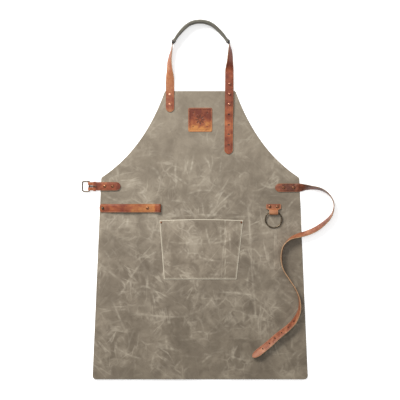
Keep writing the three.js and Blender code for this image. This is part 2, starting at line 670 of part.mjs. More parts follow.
function makeProng() {
  const { heelX, heelZ, y } = BUCKLE;
  const { length, lift, eyeInner, eyeOuter, width, thickness } = PRONG;
  const eye = new THREE.Shape();
  eye.absarc(0, 0, eyeOuter, 0, 2 * Math.PI);
  const hole = new THREE.Path();
  hole.absarc(0, 0, eyeInner, 0, 2 * Math.PI, true);
  eye.holes.push(hole);
  const blade = new THREE.Shape();
  const half = thickness / 2;
  blade.moveTo(eyeInner + 0.5, -half);
  blade.lineTo(length - 1.5, -half);
  blade.lineTo(length, 0);
  blade.lineTo(length - 3, half);
  blade.lineTo(eyeInner + 0.5, half);
  const body = slabAcrossY(eye, 0, width, 8).add(slabAcrossY(blade, 0, width));
  place('buckle_prong', body.rotate([0, -lift, 0]).translate([heelX, y, heelZ]), bronze);
}

function makeKeeper() {
  const { x, length, wall } = KEEPER;
  const room = CLEARANCE / 2;
  const low = FACE - room;
  const high = FACE + 2 * TAB_THICKNESS + CLEARANCE + room;
  const half = STRAP.width / 2 + CLEARANCE;
  const middle = (low + high) / 2;
  const height = high - low;
  const around = roundedRectangle(0, middle, 2 * (half + wall), height + 2 * wall, 1.2);
  const inside = roundedRectangle(0, middle, 2 * half, height, 0.3);
  around.holes.push(new THREE.Path(inside.getPoints(2).reverse()));
  const body = slabAcrossX(around, 0, length, 3);
  place('keeper', body.translate([x, BUCKLE.y, 0]), cognac);
}

// ---------------------------------------------------------------- towel strap
const towelLow = FACE;
const towelHigh = FACE + TOWEL.thickness + CLEARANCE;

function towelEyeProfile() {
  const { hingeX, flatX, eyeX, eyeInner, thickness } = TOWEL;
  const outer = eyeInner + thickness;
  const z = towelLow + outer;
  const [lowTop, highTop] = [towelLow + thickness, towelHigh + thickness];
  const startX = hingeX + CLEARANCE;
  const reach = 9;
  const shape = new THREE.Shape();
  shape.moveTo(startX, towelLow);
  shape.lineTo(eyeX, towelLow);
  shape.absarc(eyeX, z, outer, -Math.PI / 2, Math.PI / 2, false);
  shape.bezierCurveTo(eyeX - reach, z + outer, flatX + reach, highTop, flatX, highTop);
  shape.lineTo(startX, highTop);
  shape.lineTo(startX, towelHigh);
  shape.lineTo(flatX, towelHigh);
  shape.bezierCurveTo(flatX + reach, towelHigh, eyeX - reach, z + eyeInner, eyeX, z + eyeInner);
  shape.absarc(eyeX, z, eyeInner, Math.PI / 2, -Math.PI / 2, true);
  shape.lineTo(startX, lowTop);
  return shape;
}

function makeTowelStrap() {
  const { y, thickness, endX, studX, hingeX, rivetX, arch, buttonHole } = TOWEL;
  const eye = slabAcrossY(towelEyeProfile(), y, STRAP.width);
  place('towel_eye', drill(eye, [[rivetX, y]], RIVET.hole), cognac);
  rivetThroughPanel('towel_rivet', rivetX, y, towelHigh + thickness);
  const onStud = FACE + STUD.flangeThickness + GAP;
  const flap = strap(
    [[hingeX - CLEARANCE, y, towelHigh, 0], [-182, y, towelHigh + 2.2, 0], [-205, y, arch - 1.2, 0],
      [-230, y, arch - 1.4, 0], [-256, y, 5.6, 0], [-276, y, onStud + 0.2, 0],
      [studX, y, onStud, 0], [endX, y, onStud, 0]],
    { width: STRAP.width, thickness, endTip: 4, steps: 26 },
  );
  place('towel_flap', flap.subtract(bore(studX, y, buttonHole, BELOW, ABOVE)), cognac);
  studThroughPanel('towel_stud', studX, y, FACE, onStud + thickness);
}

// ---------------------------------------------------------------- ring and its tab
function ringTabProfile() {
  const { topY, foldY, axisY, axisZ, inner, slack, thickness, flatY } = RING_TAB;
  const outer = inner + thickness;
  const clearY = axisY + slack;
  const [lowTop, high] = [FACE + thickness, FACE + thickness + CLEARANCE];
  const highTop = high + thickness;
  const shape = new THREE.Shape();
  shape.moveTo(topY, FACE);
  shape.lineTo(topY, lowTop);
  shape.lineTo(flatY, lowTop);
  shape.bezierCurveTo(flatY - 3, lowTop, axisY + 3, axisZ - inner, axisY, axisZ - inner);
  shape.lineTo(foldY, axisZ - inner);
  shape.absarc(foldY, axisZ, inner, -Math.PI / 2, Math.PI / 2, true);
  shape.lineTo(clearY, axisZ + inner);
  shape.bezierCurveTo(clearY + 4.5, axisZ + inner, flatY - 3.4, high, flatY, high);
  shape.lineTo(topY, high);
  shape.lineTo(topY, highTop);
  shape.lineTo(flatY + 0.8, highTop);
  shape.bezierCurveTo(flatY - 2.4, highTop, clearY + 5.5, axisZ + outer, clearY, axisZ + outer);
  shape.lineTo(foldY, axisZ + outer);
  shape.absarc(foldY, axisZ, outer, Math.PI / 2, 1.5 * Math.PI, false);
  return shape;
}

function ringTabPlan() {
  const { x, topY, topHalf, neckHalf, neckTopY, foldY } = RING_TAB;
  const corner = 3;
  const shape = new THREE.Shape();
  shape.moveTo(x - neckHalf, foldY - 10);
  shape.lineTo(x + neckHalf, foldY - 10);
  shape.lineTo(x + neckHalf, neckTopY);
  shape.lineTo(x + topHalf, neckTopY + 4);
  shape.lineTo(x + topHalf, topY - corner);
  shape.quadraticCurveTo(x + topHalf, topY, x + topHalf - corner, topY);
  shape.lineTo(x - topHalf + corner, topY);
  shape.quadraticCurveTo(x - topHalf, topY, x - topHalf, topY - corner);
  shape.lineTo(x - topHalf, neckTopY + 4);
  shape.lineTo(x - neckHalf, neckTopY);
  return shape;
}

function makeRingTab() {
  const { x, topHalf, rivets, thickness } = RING_TAB;
  const folded = slabAcrossX(ringTabProfile(), x, 2 * (topHalf + OVERCUT));
  const body = folded.intersect(slab(ringTabPlan(), BELOW, ABOVE, 4));
  place('ring_tab', drill(body, rivets, RIVET.hole), cognac);
  const top = FACE + 2 * thickness + CLEARANCE;
  rivets.forEach(([rx, ry], i) => rivetThroughPanel(`ring_rivet_${i + 1}`, rx, ry, top));
}

function makeRing() {
  const { x, axisY, axisZ } = RING_TAB;
  const { radius, wire, endZ } = RING;
  const chord = Math.sqrt(radius ** 2 - RING_TAB.neckHalf ** 2);
  const sag = radius - chord;
  // Where the wire leaves the fold it runs at a slant, so its cut there is longer than it is thick.
  const slantedWire = (wire * radius) / chord;
  const centreBelow = radius - (sag + slantedWire - wire) / 2;
  const tilt = Math.atan2(axisZ - endZ, 2 * radius);
  const body = solid(new THREE.TorusGeometry(radius, wire, 8, 36));
  const turned = body.translate([0, -centreBelow, 0]).rotate([THREE.MathUtils.radToDeg(tilt), 0, 0]);
  place('ring', turned.translate([x, axisY, axisZ]), bronze);
}

// ---------------------------------------------------------------- the apron
makePatch();
makePocket();
makeNeckLeft();
makeNeckRight();
makePad();
makeWaist();
makeBuckleTab();
makeBuckleFrame();
makeProng();
makeKeeper();
makeTowelStrap();
makeRingTab();
makeRing();
makePanel();

export default apron;
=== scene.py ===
"""Butcher apron laid flat: the looks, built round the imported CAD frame.

Lengths in the tables below are millimetres, as in the CAD source. MM turns them into metres
where a mesh is made.
"""
import json
import math

import bpy
import numpy as np
from mathutils import Matrix, Vector

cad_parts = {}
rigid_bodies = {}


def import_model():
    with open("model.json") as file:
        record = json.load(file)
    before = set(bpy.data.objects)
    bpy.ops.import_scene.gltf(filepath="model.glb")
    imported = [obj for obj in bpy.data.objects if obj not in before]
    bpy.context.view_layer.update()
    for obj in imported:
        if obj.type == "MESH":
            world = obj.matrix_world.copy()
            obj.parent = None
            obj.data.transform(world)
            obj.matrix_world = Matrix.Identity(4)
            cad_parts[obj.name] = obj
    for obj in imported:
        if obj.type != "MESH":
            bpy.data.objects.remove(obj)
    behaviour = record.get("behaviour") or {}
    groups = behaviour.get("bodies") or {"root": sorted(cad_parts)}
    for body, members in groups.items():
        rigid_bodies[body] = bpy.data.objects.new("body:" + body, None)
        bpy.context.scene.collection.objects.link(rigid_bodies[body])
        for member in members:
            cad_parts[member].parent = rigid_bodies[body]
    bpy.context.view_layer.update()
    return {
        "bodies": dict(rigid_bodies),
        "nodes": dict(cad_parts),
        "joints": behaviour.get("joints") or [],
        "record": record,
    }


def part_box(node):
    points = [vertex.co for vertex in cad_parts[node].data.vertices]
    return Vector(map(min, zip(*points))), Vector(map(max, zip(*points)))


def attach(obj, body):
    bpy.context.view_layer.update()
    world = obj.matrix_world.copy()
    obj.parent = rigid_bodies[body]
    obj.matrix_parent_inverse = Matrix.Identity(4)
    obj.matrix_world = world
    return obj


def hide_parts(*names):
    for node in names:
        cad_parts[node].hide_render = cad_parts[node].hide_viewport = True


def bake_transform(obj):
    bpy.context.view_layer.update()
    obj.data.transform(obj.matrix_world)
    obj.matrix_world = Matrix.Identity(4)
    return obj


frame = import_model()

MM = 0.001
NODES = frame["nodes"]


# ------------------------------------------------------------------ dimensions (mm)
PANEL_THICK = 1.6
FACE = 1.7
STRAP_WIDTH = 25.0
STRAP_THICK = 2.8
TAB_THICK = 2.0
TOWEL_THICK = 2.2
FLOOR = 0.3
STRAP_TIP = 12.5  # the length of a strap's rounded end
FOLD_GAP = 0.3  # between the two layers of a folded piece
ON_PANEL = FACE + 0.2

NECK_LEFT_X = -89.0
NECK_LOW = 4.9  # where the right strap lies, on the studs' flanges
NECK_TAIL_Y = 239.0
STUD_HOLE = 2.6
SPARE_HOLE = 1.9
TOWEL_HOLE = 3.4
WAIST_TIP = 24.0
WAIST_HOLES = dict(first=38.0, apart=25.0, count=6, radius=1.7)
NECK_TAB = dict(x=86.0, low=363.0, top=463.0, thick=2.2)
STUD_YS = (446.0, 416.0, 386.0)
SPARE_HOLES = (356.0, 326.0, 297.0, 267.0)
PAD_POINTS = [(-81.5, 563.5), (-60, 595), (-32, 620.5), (-1, 628), (30.5, 621), (60.5, 596), (85.5, 563.5)]
PAD_HEIGHT = 34.0
PAD_END = 7.0
PAD_MIDDLE = 12.4
PAD_RIVET_INSET = 8.0
PAD_SEAM = 4.0  # from the long edge to the stitches
PAD_BINDING = 6.0  # the dark bound length at each end

NECK_LEFT_ROUTE = [
    (-89, 363, FACE, 0), (-89, 400, FACE, 0), (-89, 436, FACE, -2), (-89, 452, FACE, -8),
    (-89, 466, FACE, -20), (-89.4, 478, 1.4, -39), (-89.9, 490, 1.0, -52), (-90.4, 508, 0.5, -61),
    (-88.2, 527, 0.5, -72), (-84.0, 546, 2.6, -83),
]
NECK_RIGHT_ROUTE = [
    (83.5, 239, FACE, 0), (84, 288, FACE, 0), (84.4, 326, FACE, 0), (84.6, 346, 2.8, 0),
    (84.8, 368, NECK_LOW, 0), (85.1, 400, NECK_LOW, 0), (85.6, 446, NECK_LOW, 0),
    (85.8, 466, NECK_LOW, 0), (85.8, 482, 3, 6), (86.6, 497, 1, 28), (87.5, 512, 0.5, 46),
    (88, 531, 0.5, 57), (87.4, 549, 2.6, 72),
]
WAIST_ROUTE = [
    (220.7, 139.8, FACE, 0), (250, 139.8, FACE, 0), (279, 139.8, FACE, 0), (287, 140, FACE, 6),
    (297, 140.3, FACE, 24), (309, 141, 0.9, 49), (329, 139.8, 0.4, 69),
    (352.8, 136, 0.4, 77), (372.6, 125.7, 0.4, 86), (387, 109.7, 0.4, 92), (393.6, 90, 0.4, 95),
    (389.5, 66, 0.4, 88), (376.7, 46.5, 0.4, 73), (344.9, 20.4, 0.9, 60), (318, 7.5, ON_PANEL, 58),
    (289.7, -0.9, ON_PANEL, 64), (272, -6.8, ON_PANEL, 75), (256.9, -16.8, ON_PANEL, 88),
    (244.6, -33.9, ON_PANEL, 98), (239, -64, ON_PANEL, 99), (243.5, -98, ON_PANEL, 92),
    (261.7, -129.2, ON_PANEL, 90), (280, -157.5, ON_PANEL, 89), (292, -190, ON_PANEL, 86),
    (291.5, -222, ON_PANEL, 76), (276.4, -254, ON_PANEL, 60), (254.3, -276.1, ON_PANEL, 52),
    (227.4, -298, ON_PANEL, 46), (203, -320.1, ON_PANEL, 42), (154, -359.3, ON_PANEL, 36),
]
# Shades along the straps as (distance along the strap, from -1, dark, to 1, golden): the leather's own colour
# variation, and in some tables painted highlights and painted shade where a strap or a fold turns toward or
# away from the key light.
# Painted highlight: the golden stretch from about 70 to 150 mm is where the strap rolls to face the key
# light.
NECK_LEFT_TONE_AND_LIGHT = ((0, 0.2), (14, -0.2), (34, -0.9), (52, -0.3), (72, 0.6), (105, 1.0), (150, 0.4),
                   (190, -0.4))
NECK_RIGHT_TONES = ((0, 0.3), (30, -0.5), (60, 0.0), (92, 0.5), (112, -0.6), (122, 0.5), (146, -1.0),
                    (180, -0.7), (230, -0.6), (300, -0.6))
# Painted shade: the darkest stretch, about 60 to 150 mm along, is where the strap stands up at the top of its
# loop, facing away from the key light.
WAIST_TONE_AND_SHADE = ((0, -0.2), (30, -0.8), (60, -1.0), (90, -1.5), (150, -1.2), (230, 0.0), (330, 0.5),
               (520, 0.5), (700, 0.2), (800, 0.4))
# Painted highlight at about 73 to 86 mm on the eye's slope that faces the key light, and painted shade at
# about 56 to 66 mm on its far side.
TOWEL_TONE_AND_LIGHT = ((0, -0.5), (56, -1.0), (66, -0.8), (73, 1.8), (86, 1.6), (96, 0.6), (135, 0.7), (150, -0.4),
               (172, -0.8), (190, -0.1), (225, -0.4))
# Painted highlight: the golden stretch from about 99 to 112 mm is the fold round the heel bar, on its side
# toward the key light.
BUCKLE_TAB_TONE_AND_LIGHT = ((0, 0.0), (94, 0.0), (99, 1.4), (112, 0.9), (124, -0.3), (140, 0.3), (165, -0.5),
                    (185, -0.8))
# Painted highlight: the golden stretch from about 38 to 50 mm is the top of the fold round the ring, where it
# faces the key light.
RING_TAB_TONE_AND_LIGHT = ((0, 0.0), (38, 1.0), (50, 0.9), (58, -0.2), (70, -0.9))
BUCKLE = dict(y=144.0, heel_x=-326.5, heel_z=4.65, wire=1.9, left_x=-347.4, left_z=2.1,
              half=14.85, corner=5.0, inner=2.4, outer=4.4, flat_x=-316.0, tip_x=-235.0)
TOWEL = dict(y=79.6, end_x=-297.0, stud_x=-287.6, hinge_x=-164.0, flat_x=-143.0, eye_x=-121.0,
             eye_inner=3.2, arch=9.6)
RING_TAB = dict(x=216.2, top_y=91.7, top_half=22.2, neck_half=13.0, neck_top_y=74.0, fold_y=66.0,
                axis_y=68.0, axis_z=7.8, inner=4.3, slack=1.6, thick=1.8, flat_y=78.5)
RING = dict(radius=24.0, wire=1.95, end_z=3.75)
POCKET = dict(top_y=43.7, bottom_y=-130.4, left_top=-119.8, right_top=126.6, bottom_half=106.8,
              thick=1.6, seam_x=74.6, bow=3.0, bulge=8.0, pen_bulge=3.0, seam_inset=4.2, rim=3.0)
PATCH = dict(y=340.0, side=71.0, radius=5.0, thick=1.6)

# ------------------------------------------------------------------ camera, lights and floor
VIEW_WIDTH = 1.18
LENS = 150.0
SENSOR = 36.0


def add_object(name, data):
    thing = bpy.data.objects.new(name, data)
    bpy.context.scene.collection.objects.link(thing)
    return thing


def make_camera():
    data = bpy.data.cameras.new("camera")
    data.lens = LENS
    data.sensor_width = SENSOR
    camera = add_object("camera", data)
    camera.location = (-0.0006, 0.1035, VIEW_WIDTH * LENS / SENSOR)
    bpy.context.scene.camera = camera


def area_light(name, at, aim, size, energy, color=(1, 1, 1)):
    data = bpy.data.lights.new(name, "AREA")
    data.shape = "DISK"
    data.size = size
    data.energy = energy
    data.color = color
    light = add_object(name, data)
    light.location = at
    light.rotation_euler = (Vector(aim) - Vector(at)).to_track_quat("-Z", "Y").to_euler()


def make_studio():
    area_light("key_light", (-1.5, 2.1, 2.2), (0.0, 0.1, 0.0), 1.4, 128.0, (1.0, 0.985, 0.96))
    area_light("fill_light", (0.3, 0.4, 3.4), (0.0, 0.0, 0.0), 2.6, 26.0, (0.97, 0.985, 1.0))
    world = bpy.data.worlds.new("studio")
    world.use_nodes = True
    background = world.node_tree.nodes["Background"]
    background.inputs["Color"].default_value = (1.0, 1.0, 1.0, 1.0)
    background.inputs["Strength"].default_value = 0.46
    bpy.context.scene.world = world
    bpy.context.scene.view_settings.view_transform = "Standard"
    mesh = bpy.data.meshes.new("floor")
    half = 3.0
    below = -0.4 * MM  # clear of the panel's back, which lies at 0
    corners = [(-half, -half, below), (half, -half, below), (half, half, below), (-half, half, below)]
    mesh.from_pydata(corners, [], [(0, 1, 2, 3)])
    mesh.materials.append(floor_material())
    floor = add_object("floor", mesh)


# ------------------------------------------------------------------ material nodes
class Material:
    """A Principled material and short ways to add nodes to it."""

    def __init__(self, name):
        self.material = bpy.data.materials.new(name)
        self.material.use_nodes = True
        self.tree = self.material.node_tree
        self.shader = self.tree.nodes["Principled BSDF"]

    def link(self, source, target):
        if isinstance(source, bpy.types.NodeSocket):
            self.tree.links.new(source, target)
        else:
            target.default_value = source

    def node(self, kind, inputs=None, **settings):
        """A new node with those settings and with its inputs linked or set."""
        node = self.tree.nodes.new("ShaderNode" + kind)
        for name, value in settings.items():
            setattr(node, name, value)
        for name, value in (inputs or {}).items():
            self.link(value, node.inputs[name])
        return node

    def set(self, **values):
        for name, value in values.items():
            self.link(value, self.shader.inputs[name.replace("_", " ")])

    def place(self, scale=(1, 1, 1), turn=0.0, shift=(0, 0, 0)):
        inputs = {"Vector": self.node("TexCoord").outputs["Object"], "Scale": [1 / s for s in scale],
                  "Rotation": (0, 0, math.radians(turn)), "Location": shift}
        return self.node("Mapping", inputs, vector_type="TEXTURE").outputs["Vector"]

    def noise(self, where, scale, detail=4.0, roughness=0.5, distortion=0.0, output=0):
        inputs = {"Vector": where, "Scale": scale, "Detail": detail, "Roughness": roughness,
                  "Distortion": distortion}
        return self.node("TexNoise", inputs).outputs[output]

    def warp(self, where, scale, amount):
        """The place moved about by a noise, so that what is drawn there wanders."""
        noise = self.noise(where, scale, output="Color")
        inputs = {0: noise, 1: (amount, amount, amount), 2: where}
        return self.node("VectorMath", inputs, operation="MULTIPLY_ADD").outputs[0]

    def cells(self, where, scale, feature="F1"):
        inputs = {"Vector": where, "Scale": scale}
        return self.node("TexVoronoi", inputs, feature=feature).outputs["Distance"]

    def ramp(self, value, stops):
        node = self.node("ValToRGB", {"Fac": value})
        marks = node.color_ramp.elements
        while len(marks) < len(stops):
            marks.new(0.5)
        for mark, (position, color) in zip(marks, stops):
            mark.position = position
            color = (color, color, color) if isinstance(color, (int, float)) else color
            mark.color = (*color, 1.0)
        return node.outputs["Color"]

    def step(self, value, low, high, start=0.0, end=1.0):
        inputs = {"Value": value, "From Min": low, "From Max": high, "To Min": start, "To Max": end}
        return self.node("MapRange", inputs, interpolation_type="SMOOTHSTEP").outputs["Result"]

    def math(self, operation, a, b=0.0):
        return self.node("Math", {0: a, 1: b}, operation=operation).outputs[0]

    def plus(self, a, b):
        return self.math("ADD", a, b)

    def times(self, a, b):
        return self.math("MULTIPLY", a, b)

    def mix(self, factor, a, b, blend="MIX"):
        a, b = ((*value, 1.0) if isinstance(value, tuple) else value for value in (a, b))
        return self.node("Mix", {0: factor, 6: a, 7: b}, data_type="RGBA", blend_type=blend).outputs[2]

    def attribute(self, name):
        return self.node("Attribute", attribute_name=name).outputs["Fac"]

    def parts_of(self, vector):
        return self.node("SeparateXYZ", {0: vector}).outputs

    def bump(self, height, distance, strength=1.0, normal=None):
        inputs = {"Strength": strength, "Distance": distance, "Height": height}
        if normal is not None:
            inputs["Normal"] = normal
        return self.node("Bump", inputs).outputs["Normal"]


def floor_material():
    m = Material("floor")
    where = m.place()
    m.set(Base_Color=m.ramp(m.noise(where, 3.0), [(0.0, 0.9), (1.0, 0.93)]), Roughness=0.8)
    m.set(Emission_Color=(1.0, 1.0, 1.0, 1.0), Emission_Strength=0.42)
    return m.material


def leather_grain(m, where, scale, depth, normal=None):
    pebbles = m.cells(where, scale)
    fine = m.noise(where, scale * 1.7, 4.0, 0.6)
    return m.bump(m.plus(pebbles, fine), depth, 0.55, normal)


def panel_material(name, shift, rim_color_or_shade, rim_strength, lighter=1.0):
    """Waxed pull-up leather: clouded grey-taupe with pale feathered creases and scuffs, and painted shade
    toward the hem and the right side.
    """
    m = Material(name)
    where = m.place(shift=shift)
    clouds = m.noise(where, 8.0, 5.0, 0.6, 0.8)
    mottle = m.noise(where, 30.0, 5.0, 0.62, 0.9)
    base = m.ramp(clouds, [(0.30, (0.160, 0.130, 0.096)), (0.5, (0.212, 0.177, 0.134)),
                           (0.70, (0.262, 0.222, 0.171))])
    worn = m.step(m.parts_of(m.place())[1], 0.30, 0.08, 0.4, 1.0)
    haze = m.step(m.noise(m.place(shift=(shift[1], shift[0], 4.0)), 13.0, 2.0, 0.45), 0.34, 0.66, -1.0, 1.0)
    active = m.step(m.plus(haze, m.times(clouds, 0.5)), -0.5, 1.1, 0.25, 1.0)
    active = m.times(active, worn)
    deep = m.times(m.step(haze, 0.0, -0.9), m.times(worn, 0.3))
    base = m.mix(deep, base, (0.115, 0.091, 0.065))
    dull = m.times(m.step(mottle, 0.52, 0.30), m.times(worn, 0.42))
    base = m.mix(dull, base, (0.118, 0.093, 0.066))
    pale = m.times(m.step(mottle, 0.42, 0.66), m.times(active, 0.5))
    base = m.mix(pale, base, (0.345, 0.302, 0.240))
    base = m.mix(m.step(m.noise(where, 85.0, 4.0, 0.6), 0.46, 0.74, 0.0, 0.25), base, (0.12, 0.097, 0.07))
    smears, streaks = panel_streaks(m, shift)
    feather = m.step(m.noise(where, 90.0, 4.0, 0.65), 0.30, 0.66, 0.35, 1.0)
    streaks = m.times(streaks, feather)
    crease = m.times(m.attribute("crease"), feather)
    smears = m.times(smears, active)
    streaks = m.times(streaks, active)
    crease = m.times(crease, m.step(active, 0.1, 0.8, 0.5, 1.0))
    base = m.mix(m.times(smears, 0.35), base, (0.355, 0.314, 0.252))
    base = m.mix(m.times(streaks, 0.75), base, (0.44, 0.395, 0.325))
    base = m.mix(crease, base, (0.47, 0.425, 0.35))
    # Painted shade, darker toward the hem and the right side, away from the key light.
    base = m.mix(1.0, base, hem_painted_shade(m, lighter), "MULTIPLY")
    # On the panel the rim colour is painted shade along its edge; on the pocket it is the pale cut edge.
    rim = m.step(m.attribute("rim"), 0.2, 0.7)
    base = m.mix(m.times(rim, rim_strength), base, rim_color_or_shade)
    marks = m.math("MAXIMUM", streaks, crease)
    normal = m.bump(marks, 0.0005, 0.4)
    normal = m.bump(mottle, 0.0007, 0.4, normal)
    normal = leather_grain(m, where, 620.0, 0.00022, normal)
    rough = m.step(mottle, 0.3, 0.7, 0.5, 0.64)
    m.set(Base_Color=base, Roughness=m.plus(rough, m.times(marks, 0.12)), Normal=normal)
    m.set(Specular_IOR_Level=0.35)
    return m.material


def hem_painted_shade(m, lighter):
    """Painted shade: the colour is darker toward the hem and the right side, away from the key light."""
    x, y, _ = m.parts_of(m.place())
    down = m.step(m.plus(y, m.times(x, -0.35)), -0.52, 0.40)
    low, middle, high = (0.68, 0.65, 0.60), (0.86, 0.835, 0.80), (1.00, 0.99, 0.96)
    return m.ramp(down, [(0.0, tuple(c * lighter for c in low)), (0.5, tuple(c * lighter for c in middle)),
                         (1.0, tuple(c * lighter for c in high))])


def panel_streaks(m, shift):
    """Soft pale smears and narrower streaks in four directions, and a net of fine creases."""
    smears, streaks = None, None
    for turn, size, seed in ((4, 3.6, 0.0), (93, 3.6, 3.7), (48, 4.0, 7.1), (-40, 4.0, 11.3)):
        spot = m.place((1.0, size, 1.0), turn, (shift[0] + seed, shift[1], seed))
        wide = m.noise(spot, 11.0, 3.0, 0.5, 0.3)
        patch = m.step(m.noise(m.place(shift=(seed, shift[0], 0)), 11.0, 2.0, 0.5), 0.50, 0.62)
        smear = m.times(m.step(wide, 0.52, 0.68), patch)
        ridge = m.math("ABSOLUTE", m.math("SUBTRACT", m.noise(spot, 5.5, 3.0, 0.5, 0.3), 0.5))
        streak = m.times(m.step(ridge, 0.0, 0.03, 1.0, 0.0), patch)
        smears = smear if smears is None else m.math("MAXIMUM", smears, smear)
        streaks = streak if streaks is None else m.math("MAXIMUM", streaks, streak)
    where = m.warp(m.place(shift=shift), 18.0, 0.03)
    net = m.step(m.cells(where, 26.0, "DISTANCE_TO_EDGE"), 0.0, 0.09, 0.75, 0.0)
    held = m.step(m.noise(where, 14.0, 3.0, 0.5), 0.46, 0.60)
    return smears, m.math("MAXIMUM", streaks, m.times(net, held))


def strap_material(name, dark, middle, light, seed=0.0, blush=0.5):
    """Cognac bridle leather. Attributes from the mesh: side, the place across the strap from -1
    to 1, and skin, which is 0 on the grain side, 1 on the cut edge and 2 on the flesh side."""
    m = Material(name)
    where = m.place(shift=(seed, seed * 0.7, 0))
    blotch = m.noise(where, 42.0, 5.0, 0.6, 0.4)
    # The tone attribute is the leather's colour along the strap, with painted highlights and painted shade
    # where a strap or fold turns toward or away from the key light.
    tone = m.plus(blotch, m.times(m.attribute("tone"), 0.17))
    mottle = m.noise(where, 70.0, 6.0, 0.65, 0.6)
    grain = m.ramp(tone, [(0.28, dark), (0.5, middle), (0.72, light)])
    grain = m.mix(m.step(mottle, 0.5, 0.8, 0.0, 0.4), grain, light)
    grain = m.mix(m.step(mottle, 0.5, 0.25, 0.0, 0.5), grain, dark)
    grain = m.mix(m.step(m.noise(where, 240.0, 3.0, 0.6), 0.5, 0.8, 0.0, 0.3), grain, dark)
    side = m.math("ABSOLUTE", m.attribute("side"))
    rim = m.step(side, 0.86, 0.98)
    grain = m.mix(m.times(rim, blush), grain, (0.40, 0.17, 0.09))
    groove = m.step(m.math("ABSOLUTE", m.math("SUBTRACT", side, 0.80)), 0.0, 0.035, 1.0, 0.0)
    grain = m.mix(m.times(groove, 0.45), grain, (0.16, 0.052, 0.022))
    fuzz = m.noise(where, 300.0, 4.0, 0.7)
    flesh = m.ramp(fuzz, [(0.3, (0.13, 0.07, 0.042)), (0.7, (0.22, 0.125, 0.078))])
    # The cut edge follows the same tone, painted highlights and shade included.
    edge_burnish_and_light = m.plus(m.noise(where, 180.0, 3.0, 0.6), m.times(m.attribute("tone"), 0.2))
    edge = m.ramp(edge_burnish_and_light, [(0.2, (0.15, 0.115, 0.09)), (0.45, (0.29, 0.165, 0.085)),
                            (0.75, (0.44, 0.27, 0.145))])
    skin = m.attribute("skin")
    color = m.mix(m.step(skin, 0.35, 0.75), grain, edge)
    color = m.mix(m.step(skin, 1.25, 1.65), color, flesh)
    # Painted shade inside punched holes and just round them; on the badge the same attribute darkens the
    # stamped relief.
    punched = m.step(m.attribute("dark"), 0.3, 0.8)
    color = m.mix(m.times(punched, 0.9), color, (0.035, 0.014, 0.008))
    normal = m.bump(mottle, 0.0003, 0.4)
    normal = leather_grain(m, where, 900.0, 0.00014, normal)
    rough = m.plus(m.step(mottle, 0.3, 0.7, 0.36, 0.5), m.step(skin, 0.3, 1.6, 0.0, 0.35))
    m.set(Base_Color=color, Roughness=rough, Normal=normal, Specular_IOR_Level=0.3)
    return m.material


def metal_material(name, dark, bright, roughness, seed=0.0):
    """Antique metal: a dark patina rubbed back to bright in places, with fine scratches."""
    m = Material(name)
    where = m.place(shift=(seed, 0, 0))
    rub = m.noise(where, 160.0, 5.0, 0.65, 0.5)
    scratch = m.noise(m.place((1, 9, 1), 33.0, (seed, 0, 0)), 420.0, 2.0, 0.5)
    color = m.ramp(rub, [(0.35, dark), (0.68, bright)])
    color = m.mix(m.step(scratch, 0.62, 0.7, 0.0, 0.4), color, bright)
    rough = m.step(rub, 0.3, 0.7, roughness + 0.12, roughness - 0.06)
    normal = m.bump(scratch, 0.00006, 0.5)
    normal = m.bump(rub, 0.00012, 0.5, normal)
    m.set(Base_Color=color, Metallic=1.0, Roughness=rough, Normal=normal)
    return m.material


def pad_material():
    m = Material("pad_leather")
    where = m.place()
    mottle = m.noise(where, 45.0, 6.0, 0.6, 0.5)
    color = m.ramp(mottle, [(0.3, (0.055, 0.05, 0.038)), (0.55, (0.095, 0.087, 0.068)),
                            (0.8, (0.17, 0.156, 0.125))])
    rim = m.attribute("rim")
    color = m.mix(m.step(rim, 0.1, 0.9, 0.0, 0.8), color, (0.165, 0.155, 0.12))
    # Painted shade in the groove between the two lips.
    color = m.mix(m.step(rim, -0.1, -0.9, 0.0, 0.85), color, (0.035, 0.03, 0.024))
    color = m.mix(m.step(rim, -1.3, -1.8, 0.0, 1.0), color, (0.014, 0.013, 0.012))
    normal = m.bump(mottle, 0.0005, 0.4)
    normal = leather_grain(m, where, 700.0, 0.0002, normal)
    m.set(Base_Color=color, Roughness=m.step(mottle, 0.3, 0.7, 0.5, 0.66), Normal=normal)
    return m.material


def thread_material(name, color):
    m = Material(name)
    twist = m.noise(m.place((1, 1, 1), 40.0), 1600.0, 2.0, 0.5)
    pale = tuple(min(1.0, c * 1.35) for c in color)
    m.set(Base_Color=m.ramp(twist, [(0.35, color), (0.65, pale)]), Roughness=0.7)
    m.set(Normal=m.bump(twist, 0.0001, 0.6))
    return m.material


def foam_material():
    m = Material("foam")
    pores = m.cells(m.place(), 700.0)
    m.set(Base_Color=m.ramp(pores, [(0.1, (0.55, 0.5, 0.38)), (0.6, (0.78, 0.72, 0.58))]), Roughness=0.95)
    m.set(Normal=m.bump(pores, 0.0004, 0.7))
    return m.material


# ------------------------------------------------------------------ mesh helpers
def new_piece(name, points, faces, material, body=None, replaces=(), smooth=40.0,
              attributes=None):
    mesh = bpy.data.meshes.new(name)
    mesh.from_pydata([tuple(p) for p in np.asarray(points, float) * MM], [], faces)
    mesh.validate(verbose=False)
    for key, values in (attributes or {}).items():
        layer = mesh.attributes.new(key, "FLOAT", "POINT")
        layer.data.foreach_set("value", np.asarray(values, np.float32))
    mesh.materials.append(material)
    piece = add_object(name, mesh)
    smooth_shade(piece, smooth)
    if body:
        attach(piece, body)
    if replaces:
        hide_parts(*replaces)
    return piece


def smooth_shade(piece, angle):
    piece.data.shade_smooth()
    piece.data.set_sharp_from_angle(angle=math.radians(angle))


def bake_modifiers(piece):
    """Replaces the piece's mesh by the one its modifiers give, and drops the modifiers."""
    bpy.context.view_layer.update()
    graph = bpy.context.evaluated_depsgraph_get()
    mesh = bpy.data.meshes.new_from_object(piece.evaluated_get(graph), depsgraph=graph)
    piece.modifiers.clear()
    piece.data = mesh


